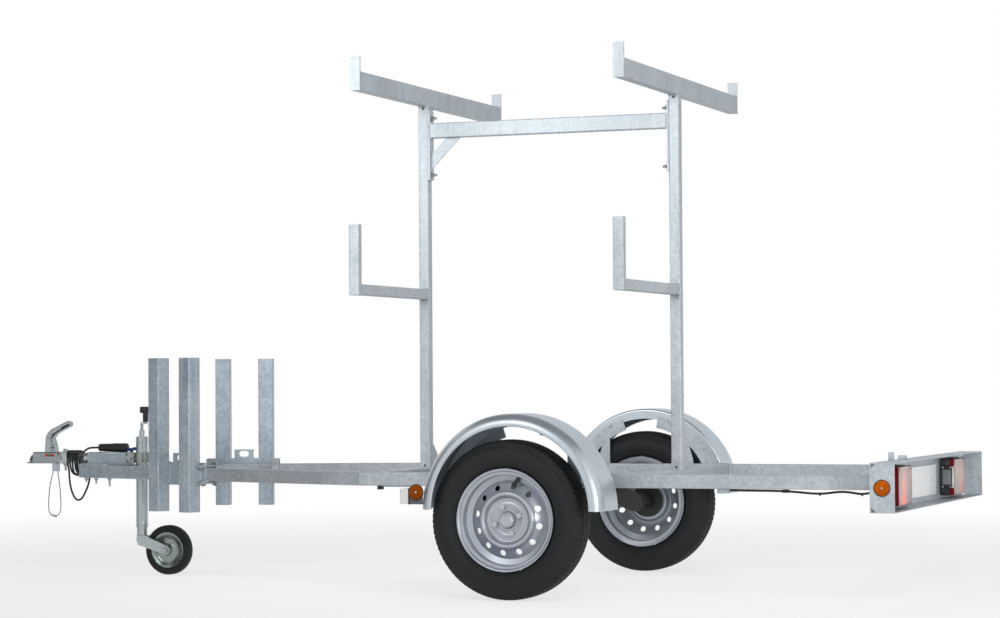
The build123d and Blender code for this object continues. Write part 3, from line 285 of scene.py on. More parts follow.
def zinc_finish(name, dark, light, cell, rough, metallic, contrast, turns=()):
    """Galvanised steel: crystal spangle, run marks and a fine grain, turning to other zincs along X."""
    f = Finish(name)
    where = f.place()
    facet = f.facets(where, cell)
    cloud = f.noise(where, 6.0, 4.0)
    runs = f.noise(f.stretched(where, (38.0, 38.0, 2.6)), 1.0, 2.0)
    grain = f.noise(where, 420.0, 2.0)
    tone = 0.5 + contrast * ((facet - 0.5) * 0.55 + (cloud - 0.5) * 1.5 + (runs - 0.5) * 0.7)
    shade = f.mix(tone, dark, light)
    for start, full, low, high in turns:
        share = f.rise(f.along(where, "X"), start, full)
        shade = f.mix(share, shade, f.mix(tone, low, high))
    return f.close(
        Base_Color=shade,
        Metallic=metallic,
        Roughness=rough + contrast * ((facet - 0.5) * 0.12 + (cloud - 0.5) * 0.26),
        Normal=f.bump(facet * 0.35 + grain * 0.65, 0.10, 0.0008),
    )


def plating_finish(name, base, rough, metallic=0.85):
    """Bright zinc plating with faint smears."""
    f = Finish(name)
    where = f.place()
    smear = f.noise(where, 45.0, 4.0)
    return f.close(
        Base_Color=f.mix(smear, toned(base, 0.72), toned(base, 1.16)),
        Metallic=metallic,
        Roughness=rough + (smear - 0.5) * 0.25,
        Normal=f.bump(smear, 0.35, 0.0025),
    )


def paint_finish(name, base, rough, metallic=0.0):
    """Paint with fine flake and a little orange peel."""
    f = Finish(name)
    where = f.place()
    flake = f.noise(where, 900.0, 1.0)
    cloud = f.noise(where, 14.0, 3.0)
    return f.close(
        Base_Color=f.mix(0.35 * flake + 0.65 * cloud, toned(base, 0.80), toned(base, 1.18)),
        Metallic=metallic,
        Roughness=rough + (cloud - 0.5) * 0.12,
        Normal=f.bump(f.noise(where, 260.0, 2.0), 0.05, 0.0006),
    )


def rubber_finish(name, base, rough):
    """Moulded rubber: fine pits and a dusty bloom."""
    f = Finish(name)
    where = f.place()
    bloom = f.noise(where, 9.0, 5.0)
    pits = f.noise(where, 1100.0, 2.0)
    return f.close(
        Base_Color=f.mix(bloom, toned(base, 0.75), toned(base, 1.65, 0.002)),
        Roughness=rough + (bloom - 0.5) * 0.2,
        Specular_IOR_Level=0.35,
        Normal=f.bump(pits, 0.14, 0.0005),
    )


def moulding_finish(name, base, rough):
    """Moulded plastic with a spark-eroded grain."""
    f = Finish(name)
    where = f.place()
    grain = f.noise(where, 1500.0, 2.0)
    cloud = f.noise(where, 30.0, 2.0)
    return f.close(
        Base_Color=f.mix(cloud, toned(base, 0.80), toned(base, 1.25, 0.002)),
        Roughness=rough + (grain - 0.5) * 0.12,
        Normal=f.bump(grain, 0.10, 0.0004),
    )


def lens_finish(name, low, high, pitch, rough=0.10):
    """Ribbed lens: optic flutes that change the tint across the face."""
    f = Finish(name)
    where = f.place()
    flute = f.bands(where, "Y", pitch)
    cloud = f.noise(where, 22.0, 2.0)
    return f.close(
        Base_Color=f.mix(0.6 * flute + 0.4 * cloud, low, high),
        Roughness=rough + cloud * 0.06,
        Specular_IOR_Level=0.15,
        Coat_Weight=0.05,
        Normal=f.bump(flute, 0.18, 0.0008),
    )


def prism_finish(name, low, high, cell, centre):
    """Reflector: small prisms under a clear face, with a painted highlight on the upper front half."""
    f = Finish(name)
    where = f.place()
    tilt = f.facets(where, cell)
    # Lighter upper front half: painted highlight
    half = (f.along(where, "X") - centre.x) * 1.2 + (f.along(where, "Z") - centre.z) > 0.0
    return f.close(
        Base_Color=f.mix(tilt * 0.35 + half * 0.45 + 0.1, low, high),
        Roughness=0.20 + tilt * 0.08,
        Specular_IOR_Level=0.05,
        Coat_Weight=0.02,
    )


def hub_finish(name, edge):
    """Plated cap and nuts outside the wheel disc, black drum inside it."""
    f = Finish(name)
    where = f.place()
    outside = f.size(f.along(where, "Y")) > edge
    smear = f.noise(where, 60.0, 4.0)
    plated = f.mix(smear, (0.36, 0.39, 0.41), (0.62, 0.65, 0.66))
    return f.close(
        Base_Color=f.mix(outside, (0.014, 0.014, 0.015), plated),
        Metallic=outside * 0.6,
        Roughness=0.40 + (smear - 0.5) * 0.25,
        Normal=f.bump(smear, 0.12, 0.0008),
    )


def face_finish(name, sign, shine):
    """Lamp face: fine flutes, two peach streaks above and a red facet that widens downward, a painted glint
    whose strength is set per lamp.
    """
    f = Finish(name)
    where = f.place()
    across = f.along(where, "Y") * sign - LAMP_Y
    rise = f.along(where, "Z") - LAMP_Z
    flute = f.bands(where, "Y", 62.0)
    drop = 0.056 - rise
    # The red facet is a painted glint, scaled by shine for each lamp
    facet = (f.size(across - 0.012 - drop * 0.20) < drop * 0.30) * (rise < 0.056)
    streak = (f.size(f.size(across + 0.008) - 0.052) < 0.010) * (rise > -0.010)
    shade = f.mix(flute, (0.33, 0.25, 0.24), (0.44, 0.345, 0.33))
    shade = f.mix(streak * 0.45, shade, (0.74, 0.40, 0.26))
    return f.close(
        Base_Color=f.mix(facet * shine, shade, (0.95, 0.19, 0.17)),
        Roughness=0.14 + flute * 0.08,
        Coat_Weight=0.25,
        Normal=f.bump(flute, 0.12, 0.0006),
    )


def rope_finish(name):
    """Stranded steel wire: dark gaps that wind round it."""
    f = Finish(name)
    where = f.place()
    strand = f.bands(where, "DIAGONAL", 260.0, 0.4)
    return f.close(
        Base_Color=f.mix(strand, (0.12, 0.12, 0.13), (0.40, 0.39, 0.42)),
        Metallic=0.8,
        Roughness=0.30 + strand * 0.15,
        Normal=f.bump(strand, 0.4, 0.0006),
    )


def plate_finish(name):
    """Blank reflective sheet: fine cells under a clear face."""
    f = Finish(name)
    where = f.place()
    cells = f.node("ShaderNodeTexVoronoi", {"feature": "F1"}, {"Vector": where, "Scale": 330.0})
    cloud = f.noise(where, 8.0, 3.0)
    return f.close(
        Base_Color=f.mix(cells * 0.4 + cloud * 0.6, (0.70, 0.71, 0.72), (0.86, 0.87, 0.87)),
        Roughness=0.30 + cloud * 0.12,
        Coat_Weight=0.3,
    )


FINISHES = {}


def make_finishes(colours):
    """Every finish of the trailer, by name."""
    c = {name: tuple(getattr(colours, name)) for name in TrailerColours.__annotations__}
    # Three amber tones; the front reflectors take the two darker ones as painted shade
    amber = [toned(c["amber"], factor) for factor in (0.42, 0.62, 1.0)]
    fresh = ((0.27, 0.33, 0.38), (0.49, 0.56, 0.615))
    # Darker zinc for the drawbar beams between the holder and the knee: painted shade
    drawbar_shade_tones = ((0.25, 0.262, 0.285), (0.42, 0.438, 0.47))
    turns = (
        (HOLDER.x - 0.15, HOLDER.x + 0.20, *fresh),
        (KNEE.x + 0.40, KNEE.x, c["zinc_dark"], c["zinc_light"]),
    )
    FINISHES.update(
        galvanised=zinc_finish("galvanised", c["zinc_dark"], c["zinc_light"], 95.0, 0.45, 0.42, 0.85),
        dipped=zinc_finish("dipped_zinc", *fresh, 80.0, 0.42, 0.45, 0.95),
        # Drawbar zinc, darker in the middle: painted shade
        weathered=zinc_finish("weathered_zinc", *drawbar_shade_tones, 95.0, 0.48, 0.38, 0.85, turns),
        sheet=zinc_finish("galvanised_sheet", toned(c["sheet"], 0.82), c["sheet"], 70.0, 0.34, 0.76, 0.20),
        plating=plating_finish("bright_zinc", c["plating"], 0.32),
        cast=plating_finish("cast_zinc", toned(c["plating"], 0.70), 0.30),
        chrome=plating_finish("polished_zinc", toned(c["plating"], 0.80), 0.17, 0.95),
        # Dark grey of the marker brackets stands for the shade they are in: painted shade
        grey_steel=paint_finish("grey_steel", (0.095, 0.105, 0.12), 0.45, 0.3),
        green_zinc=plating_finish("passivated_zinc", (0.30, 0.345, 0.315), 0.28),
        black_steel=paint_finish("black_steel", (0.018, 0.018, 0.019), 0.42),
        hub=hub_finish("hub_zinc", HALF_TRACK + 0.0262),
        rim=paint_finish("rim_silver", c["rim"], 0.30, 0.65),
        rubber=rubber_finish("tyre_rubber", c["rubber"], 0.68),
        cable=rubber_finish("cable_rubber", (0.014, 0.014, 0.015), 0.50),
        plastic=moulding_finish("black_plastic", (0.012, 0.012, 0.013), 0.48),
        blue=moulding_finish("blue_plastic", c["blue"], 0.42),
        red=lens_finish("red_lens", toned(c["red"], 0.60), c["red"], 60.0),
        # The left lamp's red facet is a full painted glint, the right one's a faint one
        face_left=face_finish("lamp_face_left", 1, 1.0),
        face_right=face_finish("lamp_face_right", -1, 0.25),
        clear=lens_finish("clear_lens", (0.66, 0.66, 0.66), (0.84, 0.84, 0.83), 80.0),
        window=lens_finish("lamp_window", (0.09, 0.095, 0.10), (0.20, 0.21, 0.22), 120.0),
        # Front reflectors in darker amber: painted shade
        amber_front=prism_finish("amber_front", amber[0], amber[1], 260.0, REFLECTORS["front"]),
        amber_rear=prism_finish("amber_rear", amber[1], amber[2], 260.0, REFLECTORS["rear"]),
        plate=plate_finish("blank_plate"),
        wire=rope_finish("wire_rope"),
        bolt=plating_finish("bolt_zinc", (0.46, 0.48, 0.49), 0.36),
        signal_red=moulding_finish("signal_red", (0.50, 0.015, 0.012), 0.35),
        signal_green=moulding_finish("signal_green", (0.02, 0.22, 0.06), 0.35),
    )


# Finish of each CAD node, also where a piece of the scene stands for it
NODE_FINISH = {
    "galvanised": (
        "side_beam_left side_beam_right cross_member_front cross_member_rear "
        "guard_brackets post_front post_rear t_bar_front t_bar_rear load_arm_front load_arm_rear top_rail "
        "light_bar joint_plate"
    ),
    "dipped": "holder_left holder_right stanchions_left stanchions_right coupling_box",
    # Drawbar beams: zinc darkened as painted shade
    "weathered": "drawbar_left drawbar_right",
    "sheet": "mudguard_left mudguard_right",
    "plating": "holder_clamps coupling_shank jockey_tube jockey_crank jockey_stem jockey_fork safety_tab",
    "cast": "coupling_head coupling_cup",
    "chrome": "coupling_lever",
    # Marker brackets: dark grey as painted shade
    "grey_steel": "marker_brackets",
    "green_zinc": "jockey_clamp jockey_rim",
    "hub": "hub_left hub_right",
    "black_steel": "axle_beam swing_arm_left swing_arm_right",
    "rim": "rim_left rim_right",
    "rubber": "tyre_left tyre_right jockey_tyre",
    "plastic": "crank_grip trailer_plug cable_gland lamp_left lamp_right",
    "blue": "clamp_lever",
    "clear": "marker_lenses",
    "amber_front": "reflectors_front",
    "amber_rear": "reflectors_rear",
    "plate": "number_plate",
    "cable": "light_cable cable_coil trailer_cable",
    "wire": "safety_cable",
}


def piece(name, mesh, finish, body="chassis", stands_for=()):
    """An object from a bmesh whose points are in the frame, riding on a body."""
    data = bpy.data.meshes.new(name)
    bmesh.ops.recalc_face_normals(mesh, faces=mesh.faces)
    mesh.to_mesh(data)
    mesh.free()
    data.shade_smooth()
    data.set_sharp_from_angle(angle=radians(32))
    made = bpy.data.objects.new(name, data)
    bpy.context.scene.collection.objects.link(made)
    made.data.materials.append(FINISHES[finish])
    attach(made, body)
    if stands_for:
        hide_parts(*stands_for)
    return made


def square(axis):
    """Two directions across an axis."""
    axis = Vector(axis).normalized()
    side = axis.cross(Vector((0, 0, 1)) if abs(axis.z) < 0.9 else Vector((1, 0, 0))).normalized()
    return axis, side, axis.cross(side)


def lathe(mesh, origin, axis, profile, segments=24, turn=0.0):
    """Revolves (along, radius) points about an axis. A radius of 0 closes the end."""
    axis, side, up = square(axis)
    rings = []
    for along, radius in profile:
        centre = Vector(origin) + axis * along
        if radius == 0:
            rings.append([mesh.verts.new(centre)])
            continue
        steps = [turn + 2 * pi * k / segments for k in range(segments)]
        rings.append([mesh.verts.new(centre + (side * cos(a) + up * sin(a)) * radius) for a in steps])
    for low, high in zip(rings, rings[1:]):
        for k in range(segments):
            n = (k + 1) % segments
            corners = [low[k % len(low)], low[n % len(low)], high[n % len(high)], high[k % len(high)]]
            corners = list(dict.fromkeys(corners))
            if len(corners) > 2:
                mesh.faces.new(corners)


def bolt(mesh, place, axis, flats, shank=0.0):
    """Washer and chamfered hexagon, with a threaded end where it stands out."""
    place, axis = Vector(place), Vector(axis).normalized()
    r = flats / sqrt(3)
    h = 0.62 * flats
    washer = 0.0020
    lathe(mesh, place, axis, ((0, r * 1.45), (0.8 * washer, r * 1.45), (washer, r * 1.40), (washer, 0)), 20)
    lathe(mesh, place + axis * washer, axis, ((0, r), (h * 0.85, r), (h, r * 0.86), (h, 0)), 6)
    if shank:
        step = flats * 0.10
        thread = [(k * step, flats * (0.31 if k % 2 else 0.27)) for k in range(int(shank / step))]
        lathe(mesh, place + axis * h, axis, (*thread, (shank, flats * 0.22), (shank, 0)), 12)


def dome(mesh, place, axis, radius, height):
    """Rivet head."""
    steps = [(height * sin(t), radius * cos(t)) for t in (0, 0.35, 0.7, 1.05, 1.35)]
    lathe(mesh, place, axis, (*steps, (height, 0)), 14)


def bead(mesh, start, end, radius):
    """Weld bead: a rippled run between two points."""
    start, end = Vector(start), Vector(end)
    run = (end - start).length
    pitch = 0.0032
    ripples = max(4, int(run / pitch)) + 1
    profile = [(0, radius * 0.3)]
    for k in range(ripples):
        swell = 1.0 + 0.16 * sin(k * 2.2) + 0.06 * sin(k * 0.9)
        profile.append((run * (k + 0.5) / ripples, radius * swell))
    lathe(mesh, start, end - start, (*profile, (run, radius * 0.3), (run, 0)), 7)


def slab(mesh, low, high, bevel, turn=None):
    """Box with rounded edges, set by a matrix where one is given."""
    low, high = Vector(low), Vector(high)
    before = set(mesh.verts)
    made = bmesh.ops.create_cube(mesh, size=1.0)["verts"]
    for v in made:
        v.co = Vector(low + high) / 2 + Vector(a * b for a, b in zip(v.co, high - low))
    edges = list({e for v in made for e in v.link_edges})
    bmesh.ops.bevel(mesh, geom=edges, offset=bevel, segments=2, profile=0.5, affect="EDGES")
    if turn:
        bmesh.ops.transform(mesh, matrix=turn, verts=[v for v in mesh.verts if v not in before])


def side_slab(mesh, sign, low, high, bevel, turn=None):
    """A slab given for the left side, or its mirror image on the right."""
    y0, y1 = sorted((sign * low[1], sign * high[1]))
    slab(mesh, (low[0], y0, low[2]), (high[0], y1, high[2]), bevel, turn)


def skin(mesh, rings):
    """Faces between neighbouring rings of points, each ring closed on itself."""
    for low, high in zip(rings, rings[1:]):
        for k in range(len(low)):
            mesh.faces.new((low[k - 1], low[k], high[k], high[k - 1]))


def wheel_point(sign, radius, angle, out):
    """A point of a road wheel: about its axle, and outboard of the wheel's middle."""
    return (AXLE_X + radius * cos(angle), sign * (HALF_TRACK + out), WHEEL_Z + radius * sin(angle))


class TRAILER_OT_finishes(bpy.types.Operator):
    """Makes the finishes and gives each CAD node its own"""

    bl_idname = "trailer.finishes"
    bl_label = "Finishes"

    def execute(self, context):
        make_finishes(context.scene.trailer_colours)
        for finish, names in NODE_FINISH.items():
            for name in names.split():
                NODES[name].data.materials.clear()
                NODES[name].data.materials.append(FINISHES[finish])
        return {"FINISHED"}


def spline(name, points, diameter, finish):
    """A round cord on a NURBS line through its control points."""
    line = bpy.data.curves.new(name, "CURVE")
    line.dimensions = "3D"
    line.bevel_depth = diameter / 2
    line.bevel_resolution = 5
    line.use_fill_caps = True
    run = line.splines.new("NURBS")
    run.points.add(len(points) - 1)
    for point, place in zip(run.points, points):
        point.co = (*place, 1.0)
    run.order_u = 3
    run.use_endpoint_u = True
    run.resolution_u = 8
    made = bpy.data.objects.new(name, line)
    bpy.context.scene.collection.objects.link(made)
    line.materials.append(FINISHES[finish])
    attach(made, "chassis")
    return made


def coil_points(turns):
    """Turns of cable hung over the coupling shank: spread above, gathered and leaning back below."""
    points = []
    steps = 16
    level = 0.5 * (COIL_TOP + COIL_BOTTOM)
    for k in range(turns * steps + 1):
        turn = k / steps
        height = sin(2 * pi * turn)
        slack = 0.0045 * sin(2.4 * (k // steps)) - 0.004
        half = 0.0310 + 0.0012 * sin(1.7 * (k // steps))
        reach = 0.0205 if height > 0.05 else -0.0205 if height < -0.05 else 0.0
        if height < -0.3:
            reach -= slack
        above, below = -0.005 - 0.0125 * turn, -0.030 - 0.0095 * turn
        x = COIL_FRONT + below + (above - below) * (1 + height) / 2
        points.append((x, half * cos(2 * pi * turn), level + 0.0305 * height + reach))
    return points


class TRAILER_OT_cords(bpy.types.Operator):
    """Trailer cable from its gland, coiled over the shank, to the parked plug, and the breakaway wire"""

    bl_idname = "trailer.cords"
    bl_label = "Cable and wire"

    def execute(self, context):
        sizes = context.scene.trailer_sizes
        hanging = (
            (GLAND_X, 0, GLAND_BOTTOM),
            (GLAND_X, 0, COIL_BOTTOM + 0.006),
            (COIL_FRONT - 0.098, 0.002, COIL_BOTTOM - 0.028),
            (COIL_FRONT - 0.082, 0.004, COIL_BOTTOM - 0.065),
            (COIL_FRONT - 0.066, 0.006, COIL_BOTTOM - 0.091),
            (COIL_FRONT - 0.045, 0.008, COIL_BOTTOM - 0.094),
            (COIL_FRONT - 0.031, 0.011, COIL_BOTTOM - 0.074),
            (COIL_FRONT - 0.024, 0.018, COIL_BOTTOM - 0.045),
            (COIL_FRONT - 0.023, 0.027, COIL_BOTTOM - 0.010),
            (COIL_FRONT - 0.0235, 0.031, COIL_BOTTOM + 0.026),
        )
        rear = COIL_FRONT - 0.0725
        parked = (
            (rear - 0.003, 0.030, COIL_TOP - 0.036),
            (rear - 0.012, 0.025, COIL_TOP - 0.014),
            (rear - 0.029, 0.012, PLUG_Z - 0.002),
            (PLUG_FRONT + 0.026, 0.002, PLUG_Z),
            (PLUG_FRONT, 0, PLUG_Z),
        )
        cable = spline(
            "trailer_lead", (*hanging, *coil_points(sizes.coil_turns), *parked), sizes.cable_diameter, "cable"
        )
        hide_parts("trailer_cable", "cable_coil")
        loop = (
            (HEAD_REAR + 0.018, 0.0225, HEAD_BOTTOM - 0.032),
            (HEAD_REAR + 0.031, 0.024, HEAD_BOTTOM - 0.075),
            (HEAD_REAR + 0.038, 0.025, HEAD_BOTTOM - 0.130),
            (HEAD_REAR + 0.040, 0.026, HEAD_BOTTOM - 0.188),
            (HEAD_REAR + 0.031, 0.026, HEAD_BOTTOM - 0.210),
            (HEAD_REAR + 0.010, 0.027, HEAD_BOTTOM - 0.219),
            (HEAD_REAR - 0.011, 0.026, HEAD_BOTTOM - 0.210),
            (HEAD_REAR - 0.020, 0.026, HEAD_BOTTOM - 0.188),
            (HEAD_REAR - 0.018, 0.025, HEAD_BOTTOM - 0.130),
            (HEAD_REAR - 0.011, 0.024, HEAD_BOTTOM - 0.075),
            (HEAD_REAR - 0.002, 0.0225, HEAD_BOTTOM - 0.032),
        )
        wire = spline("breakaway_wire", loop, sizes.wire_diameter, "wire")
        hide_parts("safety_cable")
        ferrule = bmesh.new()
        lathe(
            ferrule,
            (HEAD_REAR + 0.022, 0.0262, HEAD_BOTTOM - 0.2125),
            (-1, 0, -0.30),
            ((0, 0.0024), (0.001, 0.0042), (0.021, 0.0042), (0.022, 0.0024)),
            12,
        )
        piece("wire_ferrule", ferrule, "plating")
        return {"FINISHED"}


# Half of the tyre's section, outward from the middle: (distance from the middle, radius)
TYRE_SECTION = (
    (0.0000, 0.2770), (0.0034, 0.2770), (0.0040, 0.2838), (0.0120, 0.2840), (0.0210, 0.2838),
    (0.0218, 0.2770), (0.0282, 0.2770), (0.0290, 0.2836), (0.0380, 0.2830), (0.0460, 0.2818),
    (0.0530, 0.2790), (0.0570, 0.2750), (0.0605, 0.2690), (0.0645, 0.2620), (0.0690, 0.2545),
    (0.0700, 0.2538), (0.0712, 0.2536), (0.0752, 0.2440), (0.0775, 0.2350), (0.0780, 0.2300),
    (0.0772, 0.2220), (0.0762, 0.2175), (0.0766, 0.2165), (0.0762, 0.2155), (0.0740, 0.2085),
    (0.0700, 0.2010), (0.0690, 0.1995), (0.0690, 0.1970), (0.0660, 0.1940), (0.0610, 0.1880),
    (0.0570, 0.1838),
)
# Stations within one tread pitch
TREAD_PHASES = (0.0, 0.03, 0.19, 0.22, 0.36, 0.50, 0.515, 0.565, 0.58, 0.79)


def tread_cut(offset, phase, depth):
    """How far the tread is cut away at one place."""
    across = abs(offset)
    if 0.029 <= across <= 0.0690 and 0.03 <= phase <= 0.19:
        return 0.45 * depth * min(1.0, (0.0705 - across) / 0.022)
    if (0.004 <= across <= 0.021 or 0.029 <= across <= 0.046) and 0.515 <= phase <= 0.565:
        return 0.6 * depth
    return 0.0


class TRAILER_OT_tyres(bpy.types.Operator):
    """Road tyres with ribs, shoulder blocks, sipes and a stepped sidewall"""

    bl_idname = "trailer.tyres"
    bl_label = "Road tyres"

    def execute(self, context):
        sizes = context.scene.trailer_sizes
        section = [(-y, r) for y, r in reversed(TYRE_SECTION)] + list(TYRE_SECTION[1:])
        stations = [(pitch + phase, phase) for pitch in range(sizes.tread_pitches) for phase in TREAD_PHASES]
        for side, sign in SIDES:
            mesh = bmesh.new()
            rings = []
            for offset, radius in section:
                ring = []
                for station, phase in stations:
                    r = radius - tread_cut(offset, phase, sizes.groove_depth)
                    angle = 2 * pi * station / sizes.tread_pitches
                    ring.append(mesh.verts.new(wheel_point(sign, r, angle, offset)))
                rings.append(ring)
            skin(mesh, rings)
            piece(f"road_tyre_{side}", mesh, "rubber", f"wheel_{side}", (f"tyre_{side}",))
        return {"FINISHED"}


# Outer face of the wheel disc, from the well to the hub: (radius, distance outboard of the wheel's middle)
DISC_FACE = (
    (0.1390, 0.0140), (0.1335, 0.0168), (0.1280, 0.0205), (0.1200, 0.0262), (0.1120, 0.0318),
    (0.1080, 0.0345), (0.1035, 0.0400), (0.1000, 0.0445), (0.0970, 0.0470), (0.0930, 0.0480),
    (0.0890, 0.0470), (0.0850, 0.0432), (0.0810, 0.0345), (0.0780, 0.0295), (0.0750, DISC_Y),
    (0.0620, DISC_Y), (0.0600, 0.0292), (0.0560, 0.0300), (0.0520, 0.0292), (0.0500, DISC_Y),
    (0.0300, DISC_Y),
)
# Flanges, bead seats and well of the rim, round from the disc's outer face to its inner one
RIM_BARREL = (
    (0.1390, 0.0180), (0.1590, 0.0270), (0.1600, 0.0500), (0.1615, 0.0540), (0.1650, 0.0560),
    (0.1690, 0.0550), (0.1705, 0.0560), (0.1722, 0.0605), (0.1760, 0.0645), (0.1800, 0.0660),
    (0.1818, 0.0659), (0.1825, 0.0650), (0.1800, 0.0600), (0.1775, 0.0580), (0.1650, 0.0570),
    (0.1640, 0.0260), (0.1430, 0.0160), (0.1430, -0.0160), (0.1640, -0.0260), (0.1650, -0.0570),
    (0.1775, -0.0580), (0.1800, -0.0600), (0.1825, -0.0650), (0.1815, -0.0660), (0.1785, -0.0655),
    (0.1735, -0.0620), (0.1610, -0.0610), (0.1600, -0.0280), (0.1390, -0.0180), (0.1390, 0.0100),
)
SHEET = 0.0040
VENTS = 12
VENT_STEPS = 10
VENT_START = radians(10)
VENT_AT = 0.1182
VENT_R = 0.0105
BAND_IN, BAND_OUT = 0.1035, 0.1335


def disc_height(radius):
    """How far outboard the disc's face lies at a radius."""
    for (r1, y1), (r0, y0) in zip(DISC_FACE, DISC_FACE[1:]):
        if r0 <= radius <= r1:
            return y0 + (y1 - y0) * (radius - r0) / (r1 - r0)
    return DISC_FACE[-1][1]


def vent_sector(mesh, sign, middle):
    """One sector of the vent band: both faces of the sheet, each joined to the vent's edge, and the edge."""
    half, width = pi / VENTS, BAND_OUT - BAND_IN
    edge = [(BAND_IN, middle - half + 2 * half * k / VENT_STEPS) for k in range(VENT_STEPS)]
    edge += [(BAND_IN + width * k / 4, middle + half) for k in range(4)]
    edge += [(BAND_OUT, middle + half - 2 * half * k / VENT_STEPS) for k in range(VENT_STEPS)]
    edge += [(BAND_OUT - width * k / 4, middle - half) for k in range(4)]
    centre = Vector((cos(middle), sin(middle))) * VENT_AT
    lips = []
    for sheet in (0.0, SHEET):
        rings = []
        for share in (0.0, 0.35, 0.70, 0.92, 1.0):
            ring = []
            for radius, angle in edge:
                rim = Vector((cos(angle), sin(angle))) * radius
                spot = rim.lerp(centre + (rim - centre).normalized() * VENT_R, share)
                dip = 0.0006 if share == 1.0 and not sheet else 0.0
                out = disc_height(spot.length) - sheet - dip
                place = wheel_point(sign, spot.length, atan2(spot.y, spot.x), out)
                ring.append(mesh.verts.new(place))
            rings.append(ring)
        skin(mesh, rings)
        lips.append(rings[-1])
    skin(mesh, lips)


class TRAILER_OT_rims(bpy.types.Operator):
    """Pressed steel rims with a raised ring and twelve round vents"""

    bl_idname = "trailer.rims"
    bl_label = "Rims"

    def execute(self, context):
        outer = [p for p in DISC_FACE if p[0] >= BAND_OUT]
        inner = [p for p in DISC_FACE if p[0] <= BAND_IN]
        barrel = outer[::-1] + list(RIM_BARREL) + [(r, y - SHEET) for r, y in outer]
        dish = inner + [(r, y - SHEET) for r, y in reversed(inner)]
        steps = VENTS * VENT_STEPS
        angles = [VENT_START - pi / VENTS + 2 * pi * k / steps for k in range(steps)]
        for side, sign in SIDES:
            mesh = bmesh.new()
            for profile in (barrel, dish):
                rings = []
                for radius, out in profile:
                    rings.append([mesh.verts.new(wheel_point(sign, radius, angle, out)) for angle in angles])
                skin(mesh, rings)
            for k in range(VENTS):
                vent_sector(mesh, sign, VENT_START + 2 * pi * k / VENTS)
            bmesh.ops.remove_doubles(mesh, verts=mesh.verts, dist=0.00001)
            piece(f"road_rim_{side}", mesh, "rim", f"wheel_{side}", (f"rim_{side}",))
        return {"FINISHED"}


# Turned profiles of the valve and the hub cap: (distance along the axis, radius)
VALVE = (
    (0, 0.0095), (0.003, 0.0095), (0.007, 0.0068), (0.024, 0.0060), (0.025, 0.0064), (0.040, 0.0062),
    (0.042, 0.0045), (0.042, 0),
)
CAP_FACE = ((0, 0.0200), (0.0012, 0.0195), (0.0018, 0.0165), (0.0010, 0.0140), (0.0014, 0.0060), (0.0018, 0))
CAP_RING = ((0, 0.0375), (0.0030, 0.0370), (0.0036, 0.0345), (0.0030, 0.0320), (0, 0.0315))
VALVE_ANGLE = radians(79)


class TRAILER_OT_wheel_trim(bpy.types.Operator):
    """Valve stems and hub-cap rings on the road wheels"""

    bl_idname = "trailer.wheel_trim"
    bl_label = "Valves and caps"

    def execute(self, context):
        for side, sign in SIDES:
            hub = Vector((AXLE_X, sign * (HALF_TRACK + DISC_Y), WHEEL_Z))
            spoke = Vector((-cos(VALVE_ANGLE), 0, sin(VALVE_ANGLE)))
            foot = hub + spoke * 0.126 + Vector((0, sign * 0.002, 0))
            mesh = bmesh.new()
            lathe(mesh, foot, (-0.62, sign * 0.40, 0.68), VALVE, 14)
            piece(f"valve_{side}", mesh, "plastic", f"wheel_{side}")
            mesh = bmesh.new()
            lathe(mesh, hub + Vector((0, sign * 0.0255, 0)), (0, sign, 0), CAP_FACE, 28)
            lathe(mesh, hub, (0, sign, 0), CAP_RING, 36)
            piece(f"hub_cap_{side}", mesh, "plating", f"wheel_{side}")
        return {"FINISHED"}


def both_sides(points):
    """Points and their mirror images across the trailer's middle."""
    for point in points:
        for _, sign in SIDES:
            yield sign, Vector((point[0], sign * point[1], point[2]))


